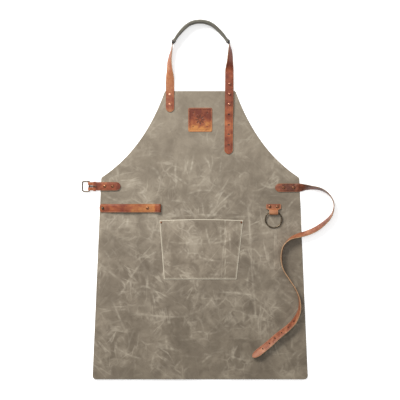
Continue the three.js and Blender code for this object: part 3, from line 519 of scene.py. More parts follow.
def cut(piece, cutter_points, cutter_faces):
    mesh = bpy.data.meshes.new("cutter")
    mesh.from_pydata([tuple(p) for p in np.asarray(cutter_points, float) * MM], [], cutter_faces)
    cutter = add_object("cutter", mesh)
    modifier = piece.modifiers.new("cut", "BOOLEAN")
    modifier.operation = "DIFFERENCE"
    modifier.solver = "EXACT"
    modifier.object = cutter
    bake_modifiers(piece)
    bpy.data.objects.remove(cutter)
    bpy.data.meshes.remove(mesh)
    smooth_shade(piece, 40.0)


def turn_angles(steps):
    return [2 * math.pi * k / steps for k in range(steps)]


def turned(points, at, direction=(0, 0, 1)):
    turn = Vector(direction).to_track_quat("Z", "Y").to_matrix()
    return [Vector(at) + turn @ Vector(p) for p in points]


def ring_faces(rings, around, first=0, loop=False, caps=True, flip=False):
    """Faces between rings of points, and over the two end rings where they aren't a loop."""
    faces = []
    for i in range(rings if loop else rings - 1):
        a, b = first + i * around, first + (i + 1) % rings * around
        faces += [(a + k, a + (k + 1) % around, b + (k + 1) % around, b + k) for k in range(around)]
    if caps and not loop:
        last = first + (rings - 1) * around
        faces += [tuple(reversed(range(first, first + around))), tuple(range(last, last + around))]
    return [face[::-1] for face in faces] if flip else faces


def pegs(places, radius, reach=12.0, steps=20):
    """Round cutters: places are (centre, direction) pairs."""
    points, faces = [], []
    for centre, direction in places:
        faces += ring_faces(2, steps, len(points))
        for z in (-reach, reach):
            ring = [(radius * math.cos(a), radius * math.sin(a), z) for a in turn_angles(steps)]
            points += turned(ring, centre, direction)
    return points, faces


def unit(vectors):
    vectors = np.asarray(vectors, float)
    return vectors / np.maximum(np.linalg.norm(vectors, axis=-1, keepdims=True), 1e-9)


def spline(points, per=24):
    """A centripetal Catmull-Rom curve through the points."""
    points = np.asarray(points, float)
    padded = np.vstack([2 * points[0] - points[1], points, 2 * points[-1] - points[-2]])
    out = []
    share = np.arange(per)[:, None] / per
    for p0, p1, p2, p3 in zip(padded, padded[1:], padded[2:], padded[3:]):
        d0, d1, d2 = (max(np.linalg.norm(b - a) ** 0.5, 1e-4) for a, b in ((p0, p1), (p1, p2), (p2, p3)))
        t1 = ((p1 - p0) / d0 - (p2 - p0) / (d0 + d1) + (p2 - p1) / d1) * d1
        t2 = ((p2 - p1) / d1 - (p3 - p1) / (d1 + d2) + (p3 - p2) / d2) * d1
        out.append(p1 + t1 * share + (3 * (p2 - p1) - 2 * t1 - t2) * share ** 2
                   + (2 * (p1 - p2) + t1 + t2) * share ** 3)
    return np.vstack([*out, points[-1:]])


def resample(curve, places, lengths):
    return np.stack([np.interp(places, lengths, curve[:, k]) for k in range(curve.shape[1])], axis=1)


def run_lengths(curve):
    steps = np.linalg.norm(np.diff(curve[:, :3], axis=0), axis=1)
    return np.concatenate([[0.0], np.cumsum(steps)])


def heading(curve, places, lengths, step=0.6):
    """The way ahead at those places along a curve."""
    after = resample(curve, np.minimum(places + step, lengths[-1]), lengths)
    return unit(after - resample(curve, np.maximum(places - step, 0.0), lengths))


def resample_loop(outline, count):
    """Points spaced evenly round a closed outline, and the way ahead at each."""
    closed = np.vstack([outline, outline[:1]])
    closed = np.column_stack([closed, np.zeros(len(closed))])
    lengths = run_lengths(closed)
    spots = resample(closed, np.linspace(0, lengths[-1], count)[:-1], lengths)
    return spots, unit(np.roll(spots, -1, axis=0) - np.roll(spots, 1, axis=0))


def without_repeats(path):
    return path[np.concatenate([[True], np.linalg.norm(np.diff(path, axis=0), axis=1) > 1e-6])]


def ease(share):
    return share * share * (3 - 2 * share)


def node_box(name):
    """The corners of a CAD node's box, in mm."""
    return [np.array(corner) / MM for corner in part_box(name)]


# ------------------------------------------------------------------ straps
EDGE_ROUND = 0.7
GROOVE_IN = 2.5  # from the strap's edge to its creased line


def strap_section(half, thick):
    """Points round a strap's section as (across, out, skin), anticlockwise about the way ahead."""
    give = min(1.0, half / 6.0)
    t = thick / 2
    r = EDGE_ROUND * give
    g = GROOVE_IN * give
    crown = 0.12 * give
    top = [(half, t - r, 1.0), (half - 0.3 * r, t - 0.3 * r, 0.8), (half - r, t, 0.3),
           (half - g + 0.55 * give, t, 0.0), (half - g, t - 0.32 * give, 0.0),
           (half - g - 0.55 * give, t, 0.0), (half * 0.5, t + crown, 0.0)]
    mirrored = [(-a, b, s) for a, b, s in reversed(top)]
    bottom = [(-half, -t + r, 1.0), (-half + r, -t, 2.0), (-half * 0.5, -t, 2.0), (0.0, -t, 2.0),
              (half * 0.5, -t, 2.0), (half - r, -t, 2.0), (half, -t + r, 1.0)]
    return top + [(0.0, t + crown, 0.0)] + mirrored + bottom


def strap_mesh(centres, across, out, halves, thick, tones=None, loop=False):
    """Points, faces and attributes of a strap swept through those centres."""
    tones = np.zeros(len(centres)) if tones is None else tones
    points, side, skin, tone = [], [], [], []
    for centre, w, n, half, shade in zip(centres, across, out, halves, tones):
        for a, b, s in strap_section(half, thick):
            points.append(centre + w * a + n * b)
            side.append(a / half if half > 3.0 else 1.0)
            skin.append(s)
            tone.append(shade)
    faces = ring_faces(len(centres), len(points) // len(centres), loop=loop)
    return points, faces, {"side": side, "skin": skin, "tone": tone}


def tip_places(length, start_tip, end_tip, pitch):
    """Places along a strap, closer together in its rounded tips."""
    tip = np.array([0.012, 0.05, 0.12, 0.22, 0.35, 0.5, 0.68, 0.85])
    middle = np.linspace(start_tip, length - end_tip, max(3, int((length - start_tip - end_tip) / pitch)))
    parts = [tip * start_tip] if start_tip else []
    parts.append(middle)
    if end_tip:
        parts.append(length - tip[::-1] * end_tip)
    return np.concatenate(parts)


def tip_halves(places, length, start_tip, end_tip, half, power=2.0):
    share = np.ones(len(places))
    if start_tip:
        share = np.minimum(share, places / start_tip)
    if end_tip:
        share = np.minimum(share, (length - places) / end_tip)
    return half * (1 - (1 - np.clip(share, 0.01, 1.0)) ** power) ** 0.5


def route_frames(route, thick, start_tip=0.0, end_tip=0.0, pitch=2.5, half=STRAP_WIDTH / 2, power=2.0):
    """Centres, across and out directions and half widths of a strap laid on a route of
    (x, y, height of the lower edge, roll in degrees)."""
    route = np.asarray(route, float)
    path = spline(np.column_stack([route[:, 0], route[:, 1], np.zeros(len(route))]))
    turns = spline(np.column_stack([route[:, 3], route[:, 2], np.zeros(len(route))]))
    lengths = run_lengths(path)
    length = lengths[-1]
    places = tip_places(length, start_tip, end_tip, pitch)
    centre = resample(path, places, lengths)
    ahead = heading(path, places, lengths)
    roll = np.radians(resample(turns, places, lengths)[:, 0])
    low = resample(turns, places, lengths)[:, 1]
    left = np.column_stack([-ahead[:, 1], ahead[:, 0], np.zeros(len(ahead))])
    up = np.array([0.0, 0.0, 1.0])
    sine, cosine = np.sin(roll)[:, None], np.cos(roll)[:, None]
    across = left * cosine + up * sine
    out = up * cosine - left * sine
    centre[:, 2] = low + half * abs(np.sin(roll)) + thick / 2 * abs(np.cos(roll))
    halves = tip_halves(places, length, start_tip, end_tip, half, power)
    return dict(centre=centre, across=across, out=out, halves=halves, places=places, length=length)


def lay_strap(name, frames, thick, material, replaces, body=None, tones=((0.0, 0.0),)):
    """A strap piece. Tones are (place along it, shade) pairs, from -1, dark, to 1, golden; some of the shades
    are painted highlights and painted shade.
    """
    shades = np.interp(frames["places"], [place for place, _ in tones], [shade for _, shade in tones])
    points, faces, attributes = strap_mesh(frames["centre"], frames["across"], frames["out"],
                                           frames["halves"], thick, shades)
    return new_piece(name, points, faces, material, body, replaces,
                     attributes=attributes)


def holes_at(frames, places):
    """(centre, direction) of holes at those distances along a strap."""
    found = []
    for place in places:
        i = int(np.argmin(abs(frames["places"] - place)))
        found.append((frames["centre"][i], frames["out"][i]))
    return found


def punch(piece, places, radius):
    cut(piece, *pegs(places, radius))
    paint_hole_shade(piece, places, radius)


def paint_hole_shade(piece, places, radius):
    """Painted shade: attribute dark is 1 inside a punched hole and fades just outside it."""
    mesh = piece.data
    co = np.array([v.co for v in mesh.vertices]) / MM
    dark = np.zeros(len(co))
    for centre, direction in places:
        away = co - np.array(centre)
        d = np.array(direction) / np.linalg.norm(direction)
        beside = np.linalg.norm(away - np.outer(away @ d, d), axis=1)
        dark = np.maximum(dark, np.clip((radius + 0.25 - beside) / 0.2, 0, 1))
    layer = mesh.attributes.get("dark") or mesh.attributes.new("dark", "FLOAT", "POINT")
    layer.data.foreach_set("value", dark.astype(np.float32))


def pad_curve():
    path = spline([(x, y, 0.0) for x, y in PAD_POINTS], 40)
    return path, run_lengths(path)


def pad_route(distances, roll):
    path, lengths = pad_curve()
    low = FLOOR + PAD_HEIGHT / 2 - STRAP_WIDTH / 2
    return [(x, y, low, roll) for x, y, _ in resample(path, np.array(distances), lengths)]


def make_neck_straps(leather_left, leather_right):
    length = pad_curve()[1][-1]
    inside = [0.0, 7.0, 14.0, 20.0]
    route = NECK_LEFT_ROUTE + pad_route(inside, -90)
    frames = route_frames(route, STRAP_THICK, start_tip=STRAP_TIP)
    left = lay_strap("neck_strap_left", frames, STRAP_THICK, leather_left,
                     ["neck_left_anchor", "neck_left_strap"], tones=NECK_LEFT_TONE_AND_LIGHT)
    route = NECK_RIGHT_ROUTE + pad_route([length - d for d in inside], 90)
    frames = route_frames(route, STRAP_THICK, start_tip=STRAP_TIP)
    right = lay_strap("neck_strap_right", frames, STRAP_THICK, leather_right,
                      ["neck_right_tail", "neck_right_strap"], tones=NECK_RIGHT_TONES)
    along = [y - NECK_TAIL_Y for y in (*STUD_YS, *SPARE_HOLES)]
    punch(right, holes_at(frames, along[:len(STUD_YS)]), STUD_HOLE)
    punch(right, holes_at(frames, along[len(STUD_YS):]), SPARE_HOLE)
    route = [(NECK_TAB["x"], NECK_TAB[end], FACE, 0) for end in ("low", "top")]
    tab = route_frames(route, NECK_TAB["thick"], STRAP_TIP, STRAP_TIP)
    lay_strap("neck_anchor_tab_leather", tab, NECK_TAB["thick"], leather_right, ["neck_anchor_tab"], "apron")
    for piece, x, z in ((left, NECK_LEFT_X, 3.1), (right, 85.8, 6.3)):
        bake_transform(piece)


def make_waist_strap(leather):
    frames = route_frames(WAIST_ROUTE, STRAP_THICK, start_tip=STRAP_TIP, end_tip=WAIST_TIP, power=1.7)
    strap = lay_strap("waist_strap_leather", frames, STRAP_THICK, leather, ["waist_anchor", "waist_strap"],
                      tones=WAIST_TONE_AND_SHADE)
    holes = WAIST_HOLES
    places = [frames["length"] - holes["first"] - holes["apart"] * k for k in range(holes["count"])]
    punch(strap, holes_at(frames, places), holes["radius"])
    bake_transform(strap)


def folded_frames(path, along_x, middle, half, thick_tip, pitch=1.5, grain=1):
    """Frames of leather folded in a plane: path is (u, z) pairs, where u is X if along_x, else Y.
    Grain is 1 if the grain side is on the left of the way ahead, and -1 if it is on the right."""
    path = np.asarray(path, float)
    flat = np.column_stack([path[:, 0], path[:, 1], np.zeros(len(path))])
    lengths = run_lengths(flat)
    length = lengths[-1]
    start_tip, end_tip = thick_tip
    places = tip_places(length, start_tip, end_tip, pitch)
    uz = resample(flat, places, lengths)
    ahead = heading(flat, places, lengths, 0.4)
    zeros = np.zeros(len(places))

    def in_plane(u, beside, z):
        return np.column_stack([u, beside, z] if along_x else [beside, u, z])

    centre = in_plane(uz[:, 0], zeros + middle, uz[:, 1])
    out = in_plane(ahead[:, 1], zeros, -ahead[:, 0]) * grain
    forward = in_plane(ahead[:, 0], zeros, ahead[:, 1])
    across = np.cross(out, forward)
    halves = tip_halves(places, length, start_tip, end_tip, half)
    return dict(centre=centre, across=across, out=out, halves=halves, places=places, length=length)


def bezier(p0, p1, p2, p3, steps=12):
    t = np.linspace(0, 1, steps)[:, None]
    p0, p1, p2, p3 = (np.array(p, float) for p in (p0, p1, p2, p3))
    return (1 - t) ** 3 * p0 + 3 * (1 - t) ** 2 * t * p1 + 3 * (1 - t) * t ** 2 * p2 + t ** 3 * p3


def arc(cx, cz, radius, start, end, steps=16):
    angles = np.radians(np.linspace(start, end, steps))
    return np.column_stack([cx + radius * np.cos(angles), cz + radius * np.sin(angles)])


def fold_heights(thick):
    """The middles of the lower and the upper layer of a folded piece."""
    return FACE + thick / 2, FACE + 1.5 * thick + FOLD_GAP


def make_buckle_tab(leather):
    b = BUCKLE
    low, high = fold_heights(TAB_THICK)
    radius = (b["inner"] + b["outer"]) / 2
    x, z, flat = b["heel_x"], b["heel_z"], b["flat_x"]
    path = np.vstack([
        [(b["tip_x"], low), (flat + 30, low), (flat, low)],
        bezier((flat, low), (flat - 4, low), (x + 4, z - radius), (x, z - radius)),
        arc(x, z, radius, 270, 90),
        bezier((x, z + radius), (x + 4, z + radius), (flat - 4.5, high), (flat, high)),
        [(flat + 30, high), (b["tip_x"], high)],
    ])
    frames = folded_frames(without_repeats(path), True, b["y"], STRAP_WIDTH / 2, (STRAP_TIP, STRAP_TIP),
                           grain=-1)
    tab = lay_strap("buckle_tab_leather", frames, TAB_THICK, leather, ["buckle_tab"], "apron",
                    BUCKLE_TAB_TONE_AND_LIGHT)
    slot = box_mesh((x - b["outer"] - 2, b["y"] - 3.0, -2), (-315.7, b["y"] + 3.0, 20))
    cut(tab, *slot)


def box_mesh(low, high):
    (x0, y0, z0), (x1, y1, z1) = low, high
    points = [(x0, y0, z0), (x1, y0, z0), (x1, y1, z0), (x0, y1, z0),
              (x0, y0, z1), (x1, y0, z1), (x1, y1, z1), (x0, y1, z1)]
    faces = [(3, 2, 1, 0), (4, 5, 6, 7), (0, 1, 5, 4), (1, 2, 6, 5), (2, 3, 7, 6), (3, 0, 4, 7)]
    return points, faces


def make_towel_strap(leather):
    t = TOWEL
    thick = TOWEL_THICK
    low, high = fold_heights(thick)
    outer = t["eye_inner"] + thick
    radius = t["eye_inner"] + thick / 2
    z = FACE + outer
    on_stud = FACE + 0.9 + thick / 2
    path = np.vstack([
        [(t["hinge_x"] + 0.3, low), (t["flat_x"], low)],
        arc(t["eye_x"], z, radius, -90, 90),
        bezier((t["eye_x"], z + radius), (t["eye_x"] - 9, z + radius), (t["flat_x"] + 9, high),
               (t["flat_x"], high)),
        spline([(t["flat_x"] - 1, high, 0), (t["hinge_x"], high, 0), (-182, high + 2.2, 0),
                (-205, t["arch"] - 0.1, 0), (-230, t["arch"] - 0.3, 0), (-256, 6.7, 0),
                (-276, on_stud + 0.2, 0), (t["stud_x"], on_stud, 0), (t["end_x"], on_stud, 0)], 10)[:, :2],
    ])
    frames = folded_frames(path, True, t["y"], STRAP_WIDTH / 2, (0.0, 5.0))
    strap = lay_strap("towel_strap_leather", frames, thick, leather, ["towel_eye", "towel_flap"],
                      tones=TOWEL_TONE_AND_LIGHT)
    centre = (t["stud_x"], t["y"], on_stud)
    punch(strap, [(centre, (0, 0, 1))], TOWEL_HOLE)
    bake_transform(strap)


def make_ring_tab(leather):
    r = RING_TAB
    thick = r["thick"]
    low, high = fold_heights(thick)
    mid = r["inner"] + thick / 2
    z, axis, fold, flat = r["axis_z"], r["axis_y"], r["fold_y"], r["flat_y"]
    clear = axis + r["slack"]
    path = np.vstack([
        [(r["top_y"], low), (flat, low)],
        bezier((flat, low), (flat - 3, low), (axis + 3, z - mid), (axis, z - mid)),
        arc(fold, z, mid, 270, 90),
        [(axis, z + mid)],
        bezier((clear, z + mid), (clear + 5, z + mid), (flat - 2.9, high), (flat + 0.4, high)),
        [(r["top_y"], high)],
    ])
    frames = folded_frames(without_repeats(path), False, r["x"], r["top_half"], (0.0, 0.0), 1.2, grain=-1)
    y = frames["centre"][:, 1]
    neck = r["neck_half"]
    swell = np.clip((y - r["neck_top_y"]) / 4.0, 0, 1)
    corner = np.clip((r["top_y"] - y) / 3.0, 0, 1)
    frames["halves"] = neck + (r["top_half"] - neck) * ease(swell)
    frames["halves"] -= 3.0 * (1 - np.sqrt(1 - (1 - corner) ** 2))
    lay_strap("ring_tab_leather", frames, thick, leather, ["ring_tab"], "apron", RING_TAB_TONE_AND_LIGHT)


def make_keeper(leather):
    low, high = node_box("keeper")
    wall = 1.2
    half = STRAP_WIDTH / 2 + 0.3 + wall / 2
    z0, z1 = low[2] + wall / 2, high[2] - wall / 2
    r = 1.3
    y = BUCKLE["y"]
    outline = np.vstack([
        arc(y - half + r, z0 + r, r, 180, 270, 8), arc(y + half - r, z0 + r, r, 270, 360, 8),
        arc(y + half - r, z1 - r, r, 0, 90, 8), arc(y - half + r, z1 - r, r, 90, 180, 8),
    ])
    uz, ahead = resample_loop(outline, 90)
    zeros = np.zeros(len(uz))
    centre = np.column_stack([zeros + (low[0] + high[0]) / 2, uz[:, 0], uz[:, 1]])
    forward = np.column_stack([zeros, ahead[:, 0], ahead[:, 1]])
    out = np.column_stack([zeros, ahead[:, 1], -ahead[:, 0]])
    points, faces, attributes = strap_mesh(centre, np.cross(out, forward), out, zeros + 4.0, wall,
                                           loop=True)
    new_piece("keeper_leather", points, faces, leather, "keeper", ["keeper"],
              attributes=attributes)


# ------------------------------------------------------------------ panel
def panel_half_width():
    """The panel's right edge as arrays of y and x, from the hem up."""
    def bow(p0, p1, p2, steps=20):
        t = np.linspace(0, 1, steps)[:, None]
        p0, p1, p2 = (np.array(p, float) for p in (p0, p1, p2))
        return (1 - t) ** 2 * p0 + 2 * (1 - t) * t * p1 + t ** 2 * p2
    edge = np.vstack([
        bow((305, -425), (317.5, -425), (317, -412.5)),
        bow((292.3, 165), (291.9, 170), (288, 172)),
        bow((288, 172), (166, 253), (105.5, 421), 80),
        bow((105.5, 421), (104, 425), (101, 425)),
    ])
    return edge[:, 1], edge[:, 0]


# Long creases that the leather took when it was folded and carried, as runs of (x, y).
CREASES = [
    [(139, 90), (144, 49), (151, -78), (158, -172), (168, -280)],
    [(52, -168), (105, -170), (164, -178)],
    [(-204, -228), (-150, -236), (-95, -241), (-28, -240)],
    [(-295, -86), (-258, -116), (-222, -150), (-246, -184)],
    [(-222, -150), (-196, -112), (-170, -76)],
    [(-196, -160), (-166, -151), (-132, -163)],
    [(-262, -186), (-240, -238), (-217, -290)],
    [(-101, -298), (-97, -342)],
    [(-88, 181), (-62, 166), (-38, 149)],
    [(6, 97), (9, 68)],
    [(-290, 125), (-262, 108), (-230, 99)],
    [(286, 111), (270, 96), (256, 76)],
    [(76, -350), (110, -364), (146, -371)],
    [(10, 232), (24, 214), (30, 190)],
    [(-150, 205), (-128, 188), (-118, 160)],
    [(-40, 120), (0, 132), (52, 128)],
    [(160, -60), (158, -100), (170, -124)],
    [(-250, -330), (-214, -352), (-170, -366)],
]
POCKET_CREASES = [
    [(16, 26), (22, -4), (32, -37)],
    [(-8, -62), (20, -72), (60, -77)],
    [(-96, -20), (-50, -24), (-14, -16)],
    [(86, 8), (90, -40)],
    [(-70, -96), (-44, -112)],
]


def crease_field(xy, runs, width, seed, strays=0, area=None):
    """How strongly a crease marks each point, from 0 to 1. Strays are short ones strewn over the area."""
    rng = np.random.default_rng(seed)
    lines = [(np.array(run, float), 1.0) for run in runs]
    for _ in range(strays):
        start = rng.uniform(area[0], area[1])
        heading = rng.choice([0.05, 0.0, 1.52, 1.6, 0.8, -0.75]) + rng.normal(0, 0.16)
        reach = rng.uniform(14, 62)
        bend = rng.normal(0, 0.3)
        points = [start]
        for _ in range(4):
            points.append(points[-1] + reach / 4 * np.array([math.cos(heading), math.sin(heading)]))
            heading += bend / 4
        calm = 0.45 if start[1] > 190 else 1.0
        lines.append((np.array(points), calm * rng.uniform(0.3, 0.9)))
    mark = np.zeros(len(xy))
    for run, strength in lines:
        path = spline(np.column_stack([run, np.zeros(len(run))]), 10)[:, :2]
        low, high = path.min(0) - 4 * width, path.max(0) + 4 * width
        near = np.where(((xy > low) & (xy < high)).all(1))[0]
        if not len(near):
            continue
        best = np.full(len(near), 1e9)
        share = np.zeros(len(near))
        for i, (a, b) in enumerate(zip(path, path[1:])):
            run_vector = b - a
            t = np.clip((xy[near] - a) @ run_vector / max(run_vector @ run_vector, 1e-9), 0, 1)
            distance = np.linalg.norm(xy[near] - a - t[:, None] * run_vector, axis=1)
            closer = distance < best
            best = np.where(closer, distance, best)
            share = np.where(closer, (i + t) / (len(path) - 1), share)
        fade = np.sin(np.pi * np.clip(share, 0.03, 0.97)) ** 0.5
        wobble = 0.72 + 0.28 * np.sin(share * 23 + run[0, 0])
        mark[near] = np.maximum(mark[near], strength * fade * wobble * np.exp(-(best / width) ** 2))
    return mark


def keep_flat(xy):
    """0 where something lies on the panel, 1 where the leather is free to wave."""
    boxes = [(-105, 345, -73, 430), (68, 225, 103, 430), (-42, 300, 42, 382), (-132, -142, 139, 58),
             (-300, 126, -226, 162), (-300, 62, -108, 98), (186, 12, 246, 98), (212, 122, 300, 158)]
    free = np.ones(len(xy))
    for x0, y0, x1, y1 in boxes:
        outside = np.hypot(np.maximum(np.maximum(x0 - xy[:, 0], xy[:, 0] - x1), 0),
                           np.maximum(np.maximum(y0 - xy[:, 1], xy[:, 1] - y1), 0))
        free = np.minimum(free, np.clip(outside / 45.0, 0, 1))
    route = np.array([(x, y) for x, y, _, _ in WAIST_ROUTE[12:]], float)
    path = spline(np.column_stack([route, np.zeros(len(route))]), 6)[:, :2]
    beside = np.full(len(xy), 1e9)
    for point in path:
        beside = np.minimum(beside, np.hypot(*(xy - point).T))
    free = np.minimum(free, np.clip((beside - 16.0) / 45.0, 0, 1))
    return ease(free)


def undulation(xy):
    """Soft waves of leather that doesn't lie quite flat, in mm, never below 0."""
    x, y = xy.T
    wave = (np.sin(x / 46 + y / 120 + 0.6) + 0.8 * np.sin(y / 52 - x / 150 + 2.1)
            + 0.6 * np.sin(x / 27 - y / 36 + 4.0) + 0.45 * np.sin(y / 21 + x / 31))
    near_hem = 1 + 0.8 * np.clip((-340 - y) / 80, 0, 1)
    curl = 2.2 * np.clip((-396 - y) / 29, 0, 1) ** 2
    return 2.3 * near_hem * keep_flat(xy) * np.clip(0.5 + wave / 4.2, 0, None) + curl


def panel_rows():
    corner = np.array([0, 0.4, 1.2, 2.4, 4.2, 6.6, 9.4, 12.5])
    top = np.array([4.0, 3.0, 2.0, 1.2, 0.5, 0])
    return np.concatenate([-425 + corner, np.linspace(-409.5, 418.5, 276), 425 - top])


def sheet_faces(rows, columns, top_first, bottom_first):
    """Faces of a closed sheet: two grids, the lower one turned over, and a wall round them."""
    faces = []
    for j in range(rows - 1):
        for i in range(columns - 1):
            a = j * columns + i
            face = (a, a + 1, a + columns + 1, a + columns)
            faces.append(tuple(top_first + k for k in face))
            faces.append(tuple(bottom_first + k for k in (face[0], face[3], face[2], face[1])))
    around = list(range(columns))
    around += [j * columns + columns - 1 for j in range(1, rows)]
    around += [(rows - 1) * columns + i for i in range(columns - 2, -1, -1)]
    around += [j * columns for j in range(rows - 2, 0, -1)]
    for a, b in zip(around, around[1:] + around[:1]):
        faces.append((bottom_first + a, bottom_first + b, top_first + b, top_first + a))
    return faces


def make_panel(leather):
    edge_y, edge_x = panel_half_width()
    rows = panel_rows()
    inner = 206
    grid = []
    for y in rows:
        w = float(np.interp(y, edge_y, edge_x))
        xs = np.concatenate([[-w, -w + 0.7], np.linspace(-w + 2.4, w - 2.4, inner), [w - 0.7, w]])
        grid.append(np.column_stack([xs, np.full(len(xs), y)]))
    columns = inner + 4
    xy = np.vstack(grid)
    lift = undulation(xy)
    crease = crease_field(xy, CREASES, 2.5, 5, 230, ((-300, -415), (300, 400)))
    rise = 0.3 * crease * keep_flat(xy)
    on_edge = np.zeros((len(rows), columns), bool)
    on_edge[:, [0, -1]] = True
    on_edge[[0, -1], :] = True
    on_edge = on_edge.ravel()
    top = np.column_stack([xy, lift + rise + PANEL_THICK - 0.35 * on_edge])
    bottom = np.column_stack([xy, lift])
    points = np.vstack([top, bottom])
    faces = sheet_faces(len(rows), columns, 0, len(xy))
    # Rim marks the panel's edge, where its material paints a dark line of shade.
    rim = np.concatenate([on_edge * 0.55, on_edge * 0.9])
    sheet = new_piece("panel_sheet", points, faces, leather, "apron", ["panel"],
                      smooth=50.0, attributes={"crease": np.tile(crease, 2), "rim": rim})


def pocket_lift(x, down):
    main = x < POCKET["seam_x"]
    a = np.where(main, POCKET["left_top"] + 9, POCKET["seam_x"] + 3)
    b = np.where(main, POCKET["seam_x"] - 3, POCKET["right_top"] - 9)
    most = np.where(main, POCKET["bulge"], POCKET["pen_bulge"])
    share = np.clip((x - a) / (b - a), 0, 1)
    close = np.cos(np.pi / 2 * np.clip(down / 0.96, 0, 1)) ** 1.2
    return most * np.sin(np.pi * share) ** 0.8 * close


def pocket_xy(top_x, down):
    """Where a place along the mouth comes to, that share of the way down."""
    p = POCKET
    across = (top_x - p["left_top"]) / (p["right_top"] - p["left_top"])
    x = top_x + (p["bottom_half"] * (2 * across - 1) - top_x) * down
    bow = p["bow"] * np.sin(np.pi * across) * (1 - down)
    return x, p["top_y"] + (p["bottom_y"] - p["top_y"]) * down + bow


def make_pocket(leather):
    p = POCKET
    columns, rows = 100, 70
    u = np.concatenate([[0, 0.003], np.linspace(0.01, 0.99, columns - 4), [0.997, 1]])
    v = np.concatenate([[0, 0.004], np.linspace(0.012, 0.988, rows - 4), [0.996, 1]])[::-1]
    across, down = np.meshgrid(u, v)
    top_x = p["left_top"] + (p["right_top"] - p["left_top"]) * across
    x, y = pocket_xy(top_x, down)
    lift = pocket_lift(top_x, down)
    xy = np.column_stack([x.ravel(), y.ravel()])
    crease = crease_field(xy, POCKET_CREASES, 2.2, 21, 30, ((-110, -125), (115, 40)))
    width = (p["right_top"] - p["left_top"]) * (1 - 0.13 * down)
    edge = np.minimum(np.minimum(across, 1 - across) * width, np.minimum(down, 1 - down) * 174.0).ravel()
    rim = np.clip(1 - edge / p["rim"], 0, 1)
    fold = np.exp(-((x.ravel() - p["seam_x"] + 1.2) / 1.3) ** 2)
    rim = np.maximum(rim, 0.56 * fold)
    seam_line = np.minimum(abs(edge - p["seam_inset"]), abs(x.ravel() - p["seam_x"]))
    pull = 0.35 * np.exp(-(seam_line / 1.6) ** 2)
    low = FACE + lift.ravel()
    top = np.column_stack([xy, low + p["thick"] + 0.25 * crease - pull - 0.4 * (edge < 0.05)])
    points = np.vstack([top, np.column_stack([xy, low])])
    faces = sheet_faces(len(v), len(u), 0, len(xy))
    pocket = new_piece("pocket_sheet", points, faces, leather, "apron", ["pocket"],
                       smooth=50.0, attributes={"crease": np.tile(crease, 2), "rim": np.tile(rim, 2)})


def pocket_point(x_top, down):
    """A point on the pocket's face, from its place along the mouth and how far down it is."""
    x, y = pocket_xy(x_top, down)
    z = FACE + float(pocket_lift(np.array(x_top), np.array(down))) + POCKET["thick"]
    return (x, y, z)


# ------------------------------------------------------------------ stitches
def stitch_row(name, run, pitch, length, radius, material, body, sunk=0.25):
    """A row of stitches along a run of points: each is a small rounded bead that dips at its ends."""
    run = np.asarray(run, float)
    lengths = run_lengths(run)
    total = lengths[-1]
    count = max(1, int(total // pitch))
    points, faces = [], []
    rings, around = 7, 8
    for s in range(count):
        middle = (s + 0.5) * total / count
        places = middle + np.linspace(-0.5, 0.5, rings) * length
        centre = resample(run, np.clip(places, 0, total), lengths)
        ahead = unit(centre[-1] - centre[0])
        up = unit(np.array([0.0, 0.0, 1.0]) - ahead * ahead[2])
        beside = np.cross(ahead, up)
        faces += ring_faces(rings, around, len(points), flip=True)
        for k in range(rings):
            share = math.sin(math.pi * (k + 0.35) / (rings - 0.3))
            size = radius * max(0.25, share ** 0.5)
            drop = -sunk - 0.6 * radius * (1 - share)
            for a in turn_angles(around):
                offset = beside * math.cos(a) * size + up * (math.sin(a) * size + drop)
                points.append(centre[k] + offset)
    return new_piece(name, points, faces, material, body)


def make_pocket_stitches(thread):
    p = POCKET
    inset = p["seam_inset"]
    left = [pocket_point(p["left_top"] + inset, d) for d in np.linspace(0.03, 0.972, 60)]
    right = [pocket_point(p["right_top"] - inset, d) for d in np.linspace(0.03, 0.972, 60)]
    bottom = [pocket_point(x, 0.976) for x in np.linspace(p["left_top"] + inset, p["right_top"] - inset, 60)]
    seam = [pocket_point(p["seam_x"], d) for d in np.linspace(0.02, 0.972, 60)]
    for name, run in (("left", left), ("right", right), ("bottom", bottom), ("divider", seam)):
        stitch_row(f"pocket_stitches_{name}", run, 3.6, 2.7, 0.5, thread, "apron", 0.1)


# ------------------------------------------------------------------ patch
def patch_relief(x, y):
    """Depth in mm pressed into the badge: two border lines, a large eight-petalled flower in a
    ring, and a diamond in each corner. It is a plain ornament with no letters."""
    half = PATCH["side"] / 2
    px, py = np.abs(x), np.abs(y)
    frame = np.maximum(px, py)
    depth = 0.45 * np.exp(-((frame - (half - 6.0)) / 0.55) ** 2)
    depth += 0.25 * np.exp(-((frame - (half - 8.0)) / 0.4) ** 2)
    corner = (np.abs(px - 20.5) + np.abs(py - 20.5)) / 3.2
    depth += 0.42 * np.clip((1 - corner) * 4, 0, 1)
    r = np.hypot(x, y)
    angle = np.arctan2(y, x)
    petals = 15.0 * np.abs(np.cos(4 * angle)) ** 0.7
    depth += 0.4 * np.clip((petals - r) / 0.8, 0, 1) * (r > 3.5)
    depth += 0.35 * np.exp(-((r - 18.5) / 0.55) ** 2)
    return depth


